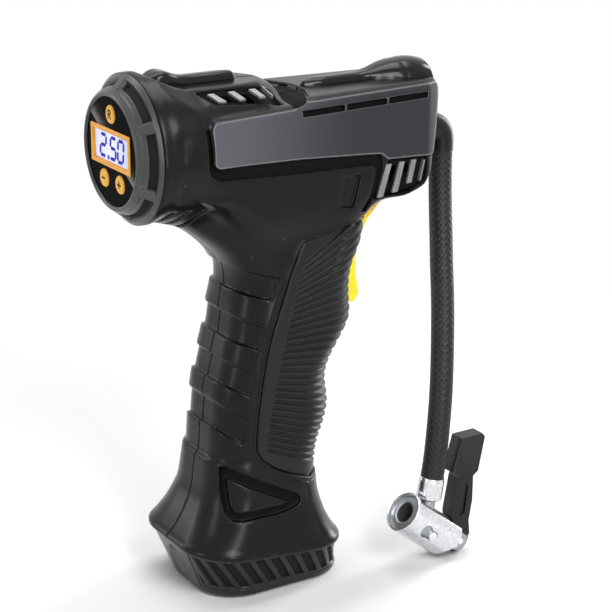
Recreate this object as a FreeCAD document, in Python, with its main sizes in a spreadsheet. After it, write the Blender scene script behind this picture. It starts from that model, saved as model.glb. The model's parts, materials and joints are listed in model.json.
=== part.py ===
import FreeCAD, Part
import math
import os

import Sketcher

# Portable tyre inflator: pistol-shaped casing, display head at the rear end, hose and lever chuck at the front.
# Millimetres. X points to the nose, Z is up, the origin is the middle of the length on the ground.

Vector = FreeCAD.Vector
Rotation = FreeCAD.Rotation
Placement = FreeCAD.Placement

doc = FreeCAD.newDocument("inflator")
sheet = doc.addObject("Spreadsheet::Sheet", "sizes")

DIMENSIONS = [
    # Overall
    ("overall_length", 132.0, "bezel front to nose front"),
    ("axis_height", 174.3, "axis of the display head above the ground"),
    ("overall_height", 203.0, "top of the hump behind the head"),
    ("casing_wall", 2.4, "moulded wall of the casing"),
    ("fit_gap", 0.1, "gap round pieces that drop into a pocket"),
    ("running_gap", 0.05, "radial gap of a shaft in its bore"),
    ("boss_radius", 2.8, "screw bosses inside the casing"),
    ("screw_radius", 1.15, "casing screws"),
    ("screw_head_radius", 2.3, "casing screws"),
    ("screw_head_height", 1.8, "casing screws"),
    ("motor_seat_gap", 0.2, "motor can in its casing rib"),
    ("base_boss_tall", 10.0, "bosses for the screws of the base cap"),
    ("web_thickness", 2.0, "webs between those bosses and the skirt"),
    ("web_setback", 2.0, "webs start this far above the boss face"),
    # Display head
    ("bezel_depth", 7.4, "length of the conical bezel"),
    ("bezel_front_radius", 21.1, "front edge of the bezel"),
    ("bezel_root_radius", 25.6, "bezel where it meets the flange"),
    ("window_radius", 19.3, "opening of the bezel"),
    ("bezel_recess", 0.8, "face plate below the bezel edge"),
    ("bezel_spigot", 3.6, "part of the bezel inside the barrel"),
    ("bezel_slot_depth", 1.5, "side slots of the bezel"),
    ("bezel_slot_width", 3.6, "side slots of the bezel"),
    ("bezel_slot_angle", 50.0, "degrees that one slot covers"),
    ("bezel_slot_count", 6.0, "slots round the bezel"),
    ("face_thickness", 2.0, "glossy face plate"),
    ("display_width", 30.0, "orange frame round the display"),
    ("display_height", 14.0, "orange frame round the display"),
    ("display_border", 1.7, "width of the orange frame"),
    ("display_rise", 1.2, "display centre above the head axis"),
    ("lcd_depth", 2.9, "display module and gap between face plate and board"),
    ("board_thickness", 1.6, "circuit boards"),
    ("lamp_radius", 2.5, "lamp lens in the boss of the nose rail"),
    ("button_radius", 3.4, "round keys"),
    ("button_travel", 0.4, "keys move this far"),
    ("button_proud", 0.5, "keys above the face plate"),
    ("reset_rise", 13.3, "reset key above the head axis"),
    ("key_drop", 10.6, "plus and minus keys below the head axis"),
    ("key_spread", 6.1, "plus and minus keys from the middle"),
    # Barrel
    ("flange_radius", 27.2, "flange that carries the bezel"),
    ("flange_length", 4.0, "flange that carries the bezel"),
    ("barrel_radius", 26.6, "barrel behind the flange"),
    ("barrel_front_radius", 23.4, "barrel at its front"),
    ("barrel_front_x", -12.0, "where the barrel starts to round off"),
    ("barrel_nose_radius", 15.0, "rounded front of the barrel"),
    ("barrel_nose_length", 12.0, "rounded front of the barrel"),
    ("top_flat_rise", 21.4, "flat top of the body above the axis"),
    ("top_flat_half", 11.5, "half width of the flat top"),
    ("shoulder_rise", 13.3, "top edge of the flat sides above the axis"),
    ("nose_top_rise", 13.7, "top of the nose above the axis"),
    # Flat sided body
    ("side_rear_x", -40.0, "rear end of the flat sides"),
    ("side_front_x", 58.0, "front end of the flat sides"),
    ("side_rear_half", 26.2, "half width there"),
    ("side_front_half", 17.8, "half width there"),
    ("nose_cheek_half", 15.2, "half width where the nose rounds in"),
    ("nose_cheek_x", 64.0, "where the nose rounds in"),
    ("nose_tip_half", 12.4, "half width of the nose front"),
    ("side_groove_depth", 1.6, "channel below the flat side"),
    ("side_slot_depth", 1.5, "row of slots near the top edge"),
    ("side_slot_height", 2.2, "row of slots near the top edge"),
    ("side_slot_gap", 0.9, "bridge between two slots"),
    ("side_slot_rise", 9.3, "row of slots above the head axis"),
    ("side_slot_start", -0.5, "rear end of the row of slots"),
    ("side_slot_end", 57.5, "front end of the row of slots"),
    ("pane_depth", 0.8, "small pane above the trigger"),
    ("vent_depth", 1.6, "vent recess"),
    ("vent_bar_height", 1.2, "silver bars in the vents"),
    # Handle
    ("grip_depth", 1.8, "rubber sleeve let into the handle"),
    ("rib_pitch", 3.2, "spacing of the grip ribs"),
    ("rib_width", 2.0, "one grip rib"),
    ("rib_count", 24.0, "grip ribs"),
    ("rib_low_z", 57.0, "lowest grip rib at its left end"),
    ("palm_step", 0.9, "recessed pads on the back of the handle"),
    ("handle_corner", 15.0, "rounding of the handle section"),
    ("cavity_inset", 3.2, "battery bay inside the handle outline"),
    # Base
    ("rim_length", 68.6, "flared rim of the base"),
    ("rim_half_width", 29.3, "flared rim of the base"),
    ("rim_centre_x", -13.0, "flared rim of the base"),
    ("rim_height", 18.6, "flared rim above the ground"),
    ("rim_tilt", 5.8, "degrees that the rim drops to the front"),
    ("rim_lip", 1.8, "thickness of the rim edge"),
    ("rim_corner", 19.0, "rounding of the rim"),
    ("cap_setback", 1.5, "base cap inside the rim"),
    ("foot_length", 60.0, "underside of the base cap"),
    ("foot_half_width", 23.0, "underside of the base cap"),
    ("foot_centre_x", -8.0, "underside of the base cap"),
    ("foot_corner", 17.0, "underside of the base cap"),
    ("cap_rib_depth", 1.0, "flutes round the base cap"),
    ("cap_rib_pitch", 6.4, "flutes round the base cap"),
    ("cap_flute_width", 3.4, "flutes round the base cap"),
    ("cap_flute_count", 8.0, "flutes round the base cap"),
    ("cap_floor", 2.4, "floor of the base cap"),
    ("cap_post_radius", 3.4, "screw posts of the base cap"),
    ("cap_sink", 5.0, "screw heads sunk into the base cap"),
    ("port_half_width", 4.6, "cover of the charging port on the rear of the base cap"),
    ("port_half_height", 6.4, "cover of the charging port"),
    ("port_rise", 10.6, "middle of the charging port above the ground"),
    ("port_depth", 1.2, "thickness of the port cover"),
    # Trigger
    ("trigger_half", 5.6, "half width of the trigger"),
    ("trigger_gap", 0.4, "gap beside the trigger"),
    ("trigger_slot_foot", 72.6, "lower end of the trigger slot below the head axis"),
    ("trigger_pin_x", 33.0, "trigger pivot"),
    ("trigger_pin_drop", 25.0, "trigger pivot below the head axis"),
    ("trigger_pin_radius", 1.5, "trigger pivot"),
    ("trigger_pin_half", 8.8, "half length of the trigger pin"),
    ("spring_radius", 2.5, "coil of the trigger spring"),
    ("spring_wire", 0.35, "half the wire of the trigger spring"),
    ("spring_room_half", 2.4, "half width of the room for the spring"),
    ("switch_front_x", 17.4, "front of the trigger switch"),
    ("switch_length", 12.0, "trigger switch"),
    ("switch_width", 8.0, "trigger switch"),
    ("switch_tall", 14.0, "trigger switch"),
    ("switch_z", 112.0, "underside of the trigger switch"),
    # Pump
    ("motor_drop", 2.3, "motor axis below the head axis"),
    ("motor_radius", 13.8, "motor can"),
    ("motor_length", 32.0, "motor can"),
    ("motor_front_x", -19.0, "front face of the motor"),
    ("shaft_radius", 1.15, "motor shaft"),
    ("gear_module", 0.7, "pitch diameter per tooth"),
    ("pinion_teeth", 10.0, "pinion"),
    ("gear_teeth", 40.0, "crank gear"),
    ("gear_width", 5.0, "both gears"),
    ("crank_radius", 6.0, "half the stroke"),
    ("crank_pin_radius", 2.0, "crank pin"),
    ("frame_thickness", 2.0, "steel plate that carries the pump"),
    ("cylinder_x", 1.6, "cylinder axis"),
    ("cylinder_bore_radius", 8.0, "cylinder"),
    ("cylinder_wall", 1.8, "cylinder"),
    ("cylinder_length", 16.3, "cylinder"),
    ("fin_height", 1.0, "cooling fins of the cylinder"),
    ("head_height", 4.0, "cylinder head"),
    ("head_bolt_spread", 8.6, "head bolts from the cylinder axis, both ways"),
    ("tray_rise", 8.5, "cylinder shelf above the crank axis"),
    ("rod_length", 18.0, "crank pin to piston crown"),
    ("open_pivot_gap", 0.3, "crank pin short of the gear"),
    ("gear_gap", 0.5, "gears in front of the frame plate"),
    ("gear_backlash", 0.14, "half the play between the teeth"),
    ("tooth_tip", 0.9, "tooth height above the pitch circle, in modules"),
    ("axle_radius", 2.0, "axle of the crank gear"),
    ("bush_radius", 3.2, "bush of that axle"),
    ("motor_can_wall", 1.5, "drawn can"),
    ("magnet_thickness", 1.8, "motor magnets"),
    ("armature_gap", 0.5, "air gap of the motor"),
    ("motor_screw_spread", 8.0, "motor screws from the shaft"),
    ("frame_screw_radius", 1.1, "screws of the pump frame"),
    ("fan_radius", 11.0, "cooling fan"),
    ("fan_blades", 7.0, "blades of the fan"),
    ("outlet_radius", 2.0, "air tube from the cylinder head"),
    ("fitting_length", 12.0, "brass hose fitting"),
    # Electrics
    ("board_y", 8.0, "main board from the middle plane"),
    ("board_rear_x", 27.0, "main board"),
    ("board_length", 26.0, "main board"),
    ("board_tall", 24.0, "main board"),
    ("cell_radius", 9.1, "battery cell"),
    ("cell_length", 65.0, "battery cell"),
    ("cell_pitch", 18.3, "spacing of the cells"),
    ("holder_thickness", 1.8, "end plates of the battery holder"),
    ("pack_x", -11.8, "foot of the battery pack"),
    ("pack_z", 30.0, "foot of the battery pack"),
    ("pack_lean", 6.77, "degrees that the pack leans to follow the handle"),
    # Hose
    ("hose_radius", 4.6, "braided hose"),
    ("elbow_radius", 4.9, "moulded elbow"),
    ("elbow_bend", 6.0, "bend radius of the elbow"),
    ("elbow_drop", 6.4, "elbow axis below the head axis"),
    ("elbow_end_z", 157.0, "mouth of the elbow"),
    ("elbow_inset", 6.0, "inner flange of the elbow behind the nose front"),
    ("elbow_x", 77.0, "hose axis where it leaves the elbow"),
    ("ferrule_radius", 5.1, "crimped ferrule"),
    ("ferrule_length", 9.48, "crimped ferrule"),
    # Chuck
    ("chuck_radius", 8.3, "sheet tube of the chuck"),
    ("chuck_wall", 0.8, "sheet tube of the chuck"),
    ("chuck_length", 27.0, "sheet tube of the chuck"),
    ("chuck_x", 40.89, "middle of the chuck's mouth"),
    ("chuck_y", -30.73, "middle of the chuck's mouth"),
    ("chuck_z", 23.3, "middle of the chuck's mouth"),
    ("chuck_slot_start", 1.4, "top slot of the tube"),
    ("chuck_slot_half", 5.4, "top slot of the tube"),
    ("valve_depth", 13.0, "mouth that takes the tyre valve"),
    ("guide_x", 13.4, "guide pin from the mouth"),
    ("guide_z", -2.2, "guide pin below the tube axis"),
    ("guide_pin_radius", 1.9, "guide pin"),
    ("ear_outer", 5.4, "outside of the lever ears"),
    ("ear_thickness", 1.9, "lever ears"),
    ("stem_radius", 2.9, "stem from the chuck into the ferrule"),
    ("stem_length", 5.4, "stem from the ferrule into the chuck"),
    ("ferrule_foot_x", 8.2, "foot of the ferrule in the chuck's frame"),
    ("ferrule_foot_z", 9.25, "foot of the ferrule in the chuck's frame"),
    ("chuck_pitch", 38.0, "degrees that the tube points down to its closed end"),
    ("valve_radius", 4.1, "mouth that takes the tyre valve"),
    ("valve_chamfer", 1.4, "end of the mouth's lead-in"),
    ("seal_seat", 9.6, "where the mouth widens for the seal"),
    ("seal_radius", 4.8, "seat of the seal"),
    ("lever_x", 29.8, "lever pivot from the mouth"),
    ("lever_rise", 1.8, "lever pivot above the tube axis"),
    ("lever_cam_radius", 5.4, "round end of the lever"),
    ("lever_half", 3.2, "half thickness of the lever"),
    ("lever_pin_radius", 1.5, "lever pivot"),
]

for row, (alias, number, remark) in enumerate(DIMENSIONS, start=1):
    sheet.set("A%d" % row, remark)
    sheet.set("B%d" % row, repr(number))
    sheet.setAlias("B%d" % row, alias)
doc.recompute()


class Size:
    """A number together with the sheet expression that it comes from."""

    def __init__(self, text, number):
        self.text = text
        self.number = float(number)

    def _join(self, other, sign, number):
        text = other.text if isinstance(other, Size) else repr(float(other))
        return Size("(%s %s %s)" % (self.text, sign, text), number)

    def __add__(self, other):
        return self._join(other, "+", self.number + num(other))

    def __sub__(self, other):
        return self._join(other, "-", self.number - num(other))

    def __mul__(self, other):
        return self._join(other, "*", self.number * num(other))

    def __truediv__(self, other):
        return self._join(other, "/", self.number / num(other))

    def __neg__(self):
        return Size("(0 - %s)" % self.text, -self.number)

    def __radd__(self, other):
        return Size(repr(float(other)), other) + self

    def __rsub__(self, other):
        return Size(repr(float(other)), other) - self

    def __rmul__(self, other):
        return Size(repr(float(other)), other) * self


def num(value):
    """Plain number of a size or of a number."""
    return value.number if isinstance(value, Size) else float(value)


class Sizes:
    """Gives each named cell of the sheet as a size."""

    def __getattr__(self, alias):
        return Size("sizes.%s" % alias, sheet.get(alias))


s = Sizes()

# Directions in which a turned or extruded piece can lie
TURNED_ALONG = {
    "x": Rotation(),
    "y": Rotation(Vector(0, 0, 1), 90),
    "z": Rotation(Vector(0, 1, 0), -90),
}
DRAWN_IN = {
    "xy": Rotation(),
    "xz": Rotation(Vector(1, 0, 0), 90),
    "yz": Rotation(Vector(1, 1, 1), 120),
}
NODES = []


def bind(thing, name, value):
    """Ties a property to the sheet, or sets it where it is a plain number."""
    if isinstance(value, Size):
        thing.setExpression(name, value.text)
        return
    setattr(thing, name, value)


def seat(thing, at, rotation=None):
    """Places an object, with each coordinate tied to the sheet."""
    turn = rotation if rotation is not None else Rotation()
    thing.Placement = Placement(Vector(*[num(value) for value in at]), turn)
    for axis, value in zip("xyz", at):
        if isinstance(value, Size):
            thing.setExpression("Placement.Base.%s" % axis, value.text)
    return thing


def outline(label, points):
    """A closed sketch of straight lines whose corners are tied to the sheet."""
    sketch = doc.addObject("Sketcher::SketchObject", label + "_outline")
    corners = [Vector(num(a), num(b), 0) for a, b in points]
    count = len(corners)
    for index in range(count):
        sketch.addGeometry(Part.LineSegment(corners[index], corners[(index + 1) % count]), False)
    for index in range(count):
        sketch.addConstraint(Sketcher.Constraint("Coincident", index, 2, (index + 1) % count, 1))
    for index, (across, along) in enumerate(points):
        for kind, value in (("DistanceX", across), ("DistanceY", along)):
            hold_corner(sketch, kind, index, value)
    return sketch


def hold_corner(sketch, kind, index, value):
    """Ties one coordinate of a corner to the sketch origin."""
    if abs(num(value)) < 1e-9:
        sketch.addConstraint(Sketcher.Constraint("PointOnObject", index, 1, -2 if kind == "DistanceX" else -1))
        return
    if num(value) > 0:
        number = sketch.addConstraint(Sketcher.Constraint(kind, -1, 1, index, 1, num(value)))
        tied = value
    else:
        number = sketch.addConstraint(Sketcher.Constraint(kind, index, 1, -1, 1, -num(value)))
        tied = -value if isinstance(value, Size) else value
    if isinstance(tied, Size):
        sketch.setExpression("Constraints[%d]" % number, tied.text)


def rounded_section(label, length, width, corner, at, rotation=None):
    """A rounded rectangle about its own origin."""
    sketch = doc.addObject("Sketcher::SketchObject", label)
    half, side, radius = num(length) / 2, num(width) / 2, num(corner)
    inner, flat = half - radius, side - radius
    add = sketch.addGeometry
    add(Part.LineSegment(Vector(-inner, side, 0), Vector(inner, side, 0)), False)
    add(Part.LineSegment(Vector(half, flat, 0), Vector(half, -flat, 0)), False)
    add(Part.LineSegment(Vector(inner, -side, 0), Vector(-inner, -side, 0)), False)
    add(Part.LineSegment(Vector(-half, -flat, 0), Vector(-half, flat, 0)), False)
    up = Vector(0, 0, 1)
    quarter = math.pi / 2
    for middle, start in ((Vector(inner, flat, 0), 0), (Vector(inner, -flat, 0), 3),
                          (Vector(-inner, -flat, 0), 2), (Vector(-inner, flat, 0), 1)):
        circle = Part.Circle(middle, up, radius)
        add(Part.ArcOfCircle(circle, start * quarter, (start + 1) * quarter), False)
    tie = sketch.addConstraint
    rule = Sketcher.Constraint
    for line, arc, following in ((0, 4, 1), (1, 5, 2), (2, 6, 3), (3, 7, 0)):
        tie(rule("Tangent", line, 2, arc, 2))
        tie(rule("Tangent", arc, 1, following, 1))
    for line, kind in ((0, "Horizontal"), (2, "Horizontal"), (1, "Vertical"), (3, "Vertical")):
        tie(rule(kind, line))
    for arc in (5, 6, 7):
        tie(rule("Equal", 4, arc))
    tie(rule("Symmetric", 4, 3, 6, 3, -1, 1))
    for kind, value in ((("Radius", 4), corner), (("DistanceY", 2, 1, 0, 1), width),
                        (("DistanceX", 3, 1, 1, 1), length)):
        number = tie(rule(*kind, num(value)))
        if isinstance(value, Size):
            sketch.setExpression("Constraints[%d]" % number, value.text)
    return seat(sketch, at, rotation)


def lofted(label, sections, ruled=False):
    """A solid through a row of sections."""
    loft = doc.addObject("Part::Loft", label)
    loft.Sections = sections
    loft.Solid = True
    loft.Ruled = ruled
    return loft


def extruded(label, points, forward, back=0, plane="xy", at=(0, 0, 0), rotation=None):
    """An outline drawn in a plane and given a thickness along the plane's normal."""
    solid = doc.addObject("Part::Extrusion", label)
    solid.Base = outline(label, points)
    solid.DirMode = "Normal"
    solid.Solid = True
    bind(solid, "LengthFwd", forward)
    bind(solid, "LengthRev", back)
    turn = DRAWN_IN[plane] if rotation is None else rotation
    return seat(solid, at, turn)


def turned(label, points, along="x", at=(0, 0, 0), angle=360.0, rotation=None):
    """A profile of (distance along the axis, radius) turned about that axis."""
    solid = doc.addObject("Part::Revolution", label)
    solid.Source = outline(label, points)
    solid.Axis = Vector(1, 0, 0)
    solid.Base = Vector(0, 0, 0)
    bind(solid, "Angle", angle)
    solid.Solid = True
    turn = TURNED_ALONG[along] if rotation is None else rotation
    return seat(solid, at, turn)


def rod(label, radius, length, along="x", at=(0, 0, 0)):
    """A plain round bar."""
    bar = doc.addObject("Part::Cylinder", label)
    bind(bar, "Radius", radius)
    bind(bar, "Height", length)
    turns = {"x": Rotation(Vector(0, 1, 0), 90), "y": Rotation(Vector(1, 0, 0), -90), "z": Rotation()}
    return seat(bar, at, turns[along])


def block(label, size, at):
    """A box from its lowest corner."""
    box = doc.addObject("Part::Box", label)
    for name, value in zip(("Length", "Width", "Height"), size):
        bind(box, name, value)
    return seat(box, at)


def fuse(label, solids):
    """Several solids made one."""
    joined = doc.addObject("Part::MultiFuse", label)
    joined.Shapes = solids
    return joined


def cut(label, base, tools):
    """A solid with others taken out of it."""
    result = doc.addObject("Part::Cut", label)
    result.Base = base
    result.Tool = tools[0] if len(tools) == 1 else fuse(label + "_tools", tools)
    return result


def common(label, first, second):
    """What two solids share."""
    result = doc.addObject("Part::Common", label)
    result.Base = first
    result.Tool = second
    return result


def mirrored(label, source):
    """The same solid on the other side of the middle plane."""
    copy = doc.addObject("Part::Mirroring", label)
    copy.Source = source
    copy.Base = Vector(0, 0, 0)
    copy.Normal = Vector(0, 1, 0)
    return copy


def group(label, solids):
    """Identical loose pieces kept together."""
    bundle = doc.addObject("Part::Compound", label)
    bundle.Links = solids
    return bundle


def rounded(label, base, radius, wanted):
    """Rounds the edges that the test picks."""
    doc.recompute()
    edges = [(number, num(radius), num(radius))
             for number, edge in enumerate(base.Shape.Edges, start=1) if wanted(edge)]
    result = doc.addObject("Part::Fillet", label)
    result.Base = base
    result.Edges = edges
    return result


def node(name, thing):
    """Marks a finished piece: its label names its file."""
    thing.Label = name
    NODES.append(thing)
    return thing


# Main stations along the body
rear_x = -s.overall_length / 2
nose_x = s.overall_length / 2
flange_x = rear_x + s.bezel_depth
axis = s.axis_height
motor_z = axis - s.motor_drop
side_taper = (s.side_rear_half - s.side_front_half) / (s.side_front_x - s.side_rear_x)
side_angle = math.degrees(math.atan(side_taper.number))


def barrel(prefix, inset):
    """Turned barrel with the flange for the bezel."""
    start = flange_x
    front = s.barrel_front_x + s.barrel_nose_length - inset - start
    return turned(prefix + "_barrel_blank", [
        (0, 0),
        (0, s.flange_radius - inset),
        (s.flange_length, s.flange_radius - inset),
        (s.flange_length + 0.5, s.barrel_radius - inset),
        (s.barrel_front_x - start, s.barrel_front_radius - inset),
        (front, s.barrel_nose_radius - inset),
        (front, 0),
    ], at=(start, 0, axis))


def barrel_trim(prefix, inset):
    """Side view of the barrel's top: it drops from the flange to a flat."""
    flat = s.top_flat_rise - inset
    reach = s.flange_radius + 2
    front = s.barrel_front_x + s.barrel_nose_length - inset
    return extruded(prefix + "_barrel_trim", [
        (flange_x, -reach),
        (flange_x, reach),
        (flange_x + s.flange_length, reach),
        (flange_x + s.flange_length + 0.6, s.barrel_radius - inset),
        (flange_x + s.flange_length + 8, flat + 1.6),
        (flange_x + s.flange_length + 13, flat),
        (front - 4, flat - 0.4),
        (front + 1, s.nose_top_rise - inset),
        (front + 1, -reach),
    ], reach, reach, plane="xz", at=(0, 0, axis))


def shoulder_cut(label, side, inset):
    """Wedge that bevels the barrel's top beside the flat."""
    run = s.side_rear_half - s.top_flat_half
    rise = s.top_flat_rise - s.shoulder_rise
    start = flange_x + s.flange_length + 4
    near = s.top_flat_half - inset * 0.48
    top = s.top_flat_rise - inset * 0.88
    points = [
        (side * near, top),
        (side * (near + run * 1.3), top - rise * 1.3),
        (side * (s.side_rear_half + 8), top + 6),
        (side * near, top + 6),
    ]
    return extruded(label, points, -start + 8, plane="yz", at=(start, 0, axis))


def barrel_body(prefix, inset):
    """Barrel with its flat top and bevelled shoulders."""
    blank = common(prefix + "_barrel_body", barrel(prefix, inset), barrel_trim(prefix, inset))
    return cut(prefix + "_barrel_bevelled", blank, [
        shoulder_cut(prefix + "_right_shoulder", -1, inset),
        shoulder_cut(prefix + "_left_shoulder", 1, inset)])


def side_body(prefix, inset):
    """Flat-sided body and nose: a plan outline and a side outline in common."""
    plan = extruded(prefix + "_side_plan", [
        (s.side_rear_x, inset - s.side_rear_half),
        (s.side_front_x, inset - s.side_front_half),
        (s.nose_cheek_x - inset, inset - s.nose_cheek_half),
        (nose_x - inset, inset - s.nose_tip_half),
        (nose_x - inset, s.nose_tip_half - inset),
        (s.nose_cheek_x - inset, s.nose_cheek_half - inset),
        (s.side_front_x, s.side_front_half - inset),
        (s.side_rear_x, s.side_rear_half - inset),
    ], 30, 60, at=(0, 0, axis))
    tip = nose_x - inset
    profile = extruded(prefix + "_side_profile", [
        (s.side_rear_x, s.shoulder_rise - 0.8 - inset),
        (s.side_rear_x + 2, s.shoulder_rise - inset),
        (0, s.shoulder_rise - inset),
        (2, s.nose_top_rise - inset),
        (tip - 4, s.nose_top_rise - inset),
        (tip - 0.8, s.nose_top_rise - 2 - inset),
        (tip, s.nose_top_rise - 5 - inset),
        (tip - 4.2, inset - 20.2),
        (tip - 7.5, inset - 24.2),
        (tip - 12, inset - 26),
        (tip - 21, inset - 28.4),
        (tip - 31, inset - 30.6),
        (tip - 42, inset - 35),
        (-18, inset - 35),
        (-27, inset - 28),
        (s.side_rear_x, inset - 18),
    ], 40, 40, plane="xz", at=(0, 0, axis))
    return common(prefix + "_side_body", plan, profile)


def top_edge(edge):
    """The two long upper edges of the flat-sided body."""
    middle = edge.CenterOfGravity
    return edge.BoundBox.XLength > 30 and middle.x > 2 and middle.z > num(axis) and abs(middle.y) > 12


SECTION_ROWS = []

# Sections of the handle: height, rear edge, front edge, half width, corner rounding
HANDLE = [
    ("heel", 26.0, -35.0, 11.0, 21.0),
    ("ankle", 42.0, -34.0, 12.0, 21.3),
    ("calf", 54.0, -32.6, 13.2, 21.3),
    ("shin", 61.0, -32.2, 16.4, 21.3),
    ("swell", 69.0, -31.7, 18.7, 21.3),
    ("belly", 75.0, -31.1, 17.7, 21.3),
    ("waist", 80.0, -30.3, 16.5, 21.3),
    ("dip", 86.5, -28.9, 18.4, 21.3),
    ("palm", 93.0, -27.0, 22.6, 21.3),
    ("knuckle", 102.0, -24.4, 28.6, 21.3),
    ("crook", 112.0, -23.4, 27.3, 21.3),
    ("neck", 122.0, -21.0, 28.0, 21.3),
]
# Upper sections are measured down from the head axis
THROAT = [
    ("web", 44.3, -22.4, 32.5, 21.0, 15.0),
    ("throat", 38.3, -30.0, 34.5, 20.0, 14.5),
    ("yoke", 33.3, -43.0, 36.0, 17.0, 13.0),
    ("saddle", 27.3, -54.0, 36.0, 11.0, 9.0),
]


def add_cells(rows, parts):
    """Writes named cells for each handle section or screw."""
    line = len(DIMENSIONS) + 2 + len(SECTION_ROWS)
    for entry in rows:
        for part, number in zip(parts, entry[1:]):
            sheet.set("A%d" % line, "%s %s" % (entry[0], part))
            sheet.set("B%d" % line, repr(number))
            sheet.setAlias("B%d" % line, entry[0] + "_" + part)
            SECTION_ROWS.append(line)
            line += 1


add_cells(HANDLE, ("height", "rear", "front", "half"))
add_cells(THROAT, ("drop", "rear", "front", "half", "corner"))
doc.recompute()


def handle_sections(prefix, inset):
    """The stack of handle sections, drawn in by an inset."""
    stack = []
    for name, *_ in HANDLE + THROAT:
        rear = getattr(s, name + "_rear")
        front = getattr(s, name + "_front")
        half = getattr(s, name + "_half")
        low = any(name == entry[0] for entry in HANDLE)
        height = getattr(s, name + "_height") if low else axis - getattr(s, name + "_drop")
        corner = s.handle_corner if low else getattr(s, name + "_corner")
        stack.append(rounded_section(
            prefix + "_" + name, front - rear - 2 * inset, 2 * half - 2 * inset, corner - inset,
            ((front + rear) / 2, 0, height)))
    return stack


def handle_solid(prefix, inset):
    """Handle with its finger swells, and the throat that spreads under the barrel."""
    return lofted("handle_" + prefix, handle_sections(prefix, inset), ruled=True)


def handle_bay():
    """Battery bay inside the handle: straight walls through a few of the sections."""
    stack = handle_sections("inner", s.cavity_inset)
    straight = ("heel", "swell", "waist", "knuckle", "neck")
    chosen = [section for section, entry in zip(stack, HANDLE) if entry[0] in straight]
    chosen += stack[len(HANDLE):]
    return lofted("handle_bay", chosen, ruled=True)


handle_outer = handle_solid("outer", 0 * s.grip_depth)
handle_step = handle_solid("step", s.palm_step)
handle_core = handle_solid("core", s.grip_depth)


def rim_turn():
    """Rotation of everything that follows the tilted rim."""
    return Rotation(Vector(0, 1, 0), num(s.rim_tilt))


def skirt(prefix, inset):
    """Flared foot of the casing, from the handle out to the rim."""
    turn = rim_turn()
    shapes = [
        ("top", 33.5, 46.6, 43.4, 15.5, -10.8),
        ("upper", 18.0, 49.6, 47.4, 17.0, -11.4),
        ("lower", 8.0, 56.8, 53.4, 18.0, -12.4),
        ("edge", 1.8, 66.4, 57.6, 18.5, -13.0),
    ]
    drawn = 2 * inset
    sections = [rounded_section(prefix + "_skirt_" + name, length - drawn, width - drawn, corner - inset,
                                (across, 0, s.rim_height + above), turn)
                for name, above, length, width, corner, across in shapes]
    rim = (s.rim_length - drawn, 2 * s.rim_half_width - drawn, s.rim_corner - inset)
    at = (s.rim_centre_x, 0, s.rim_height)
    sections.append(rounded_section(prefix + "_skirt_rim", *rim, at, turn))
    flare = lofted(prefix + "_skirt_flare", sections, ruled=True)
    low = (s.rim_centre_x, 0, s.rim_height - s.rim_lip)
    edge = lofted(prefix + "_skirt_lip", [
        rounded_section(prefix + "_lip_top", *rim, at, turn),
        rounded_section(prefix + "_lip_low", rim[0] - 1.6, rim[1] - 1.6, rim[2] - 0.8, low, turn)], ruled=True)
    return fuse(prefix + "_skirt", [flare, edge])


none = 0 * s.casing_wall
flat_sides = rounded("outer_side_rounded", side_body("outer", none), 1.6, top_edge)
outer = fuse("casing_outer", [barrel_body("outer", none), flat_sides, handle_outer, skirt("outer", none)])
bay = fuse("casing_bay", [
    barrel_body("inner", s.casing_wall),
    side_body("inner", s.casing_wall),
    handle_bay(),
    skirt("inner", s.casing_wall),
    rod("flange_bore", s.barrel_radius - s.casing_wall, s.flange_length + 2, "x", (flange_x - 1, 0, axis)),
])
doc.recompute()

# Frames for what is let into the flat sides and the bevelled shoulders
side_turn = Rotation(Vector(0, 0, 1), side_angle).multiply(DRAWN_IN["xz"])
side_out = Vector(math.sin(math.radians(side_angle)), -math.cos(math.radians(side_angle)), 0)
shoulder_run = s.side_rear_half - s.top_flat_half
shoulder_angle = math.degrees(math.atan2(num(s.top_flat_rise - s.shoulder_rise), num(shoulder_run)))
shoulder_turn = Rotation(Vector(1, 0, 0), shoulder_angle)
shoulder_out = Vector(0, -math.sin(math.radians(shoulder_angle)), math.cos(math.radians(shoulder_angle)))


def on_side(label, points, depth, height):
    """Something drawn on the right flat side, from a depth below it up to a height; measured from its rear end."""
    at = (s.side_rear_x - depth * side_out.x, -s.side_rear_half - depth * side_out.y, axis)
    return extruded(label, points, height, at=at, rotation=side_turn)


def on_shoulder(label, points, depth, height):
    """Something drawn on the right bevelled shoulder, from a depth below it up to a height."""
    at = (0, -s.side_rear_half - depth * shoulder_out.y, axis + s.shoulder_rise - depth * shoulder_out.z)
    return extruded(label, points, height, at=at, rotation=shoulder_turn)


def slanted_bars(label, spans, high, place, depth, height):
    """Slanted silver bars: each span gives the top and bottom ends of a bar along the body, and its foot."""
    return [place("%s_%d" % (label, number), [(a, high), (b, high), (d, low), (c, low)], depth, height)
            for number, (a, b, c, d, low) in enumerate(spans)]


SHOULDER_BARS = [(-34.6, -31.9, -31.9, -28.9, 8.9), (-26.3, -23.6, -23.8, -21.2, 8.9),
                 (-17.9, -15.2, -15.4, -13.1, 8.9)]
NOSE_BARS = [(78.5, 81.3, 74.6, 77.3, -26.2), (85.1, 87.5, 81.6, 84.4, -25.3), (90.8, 93.3, 88.7, 91.1, -22.8)]


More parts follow.
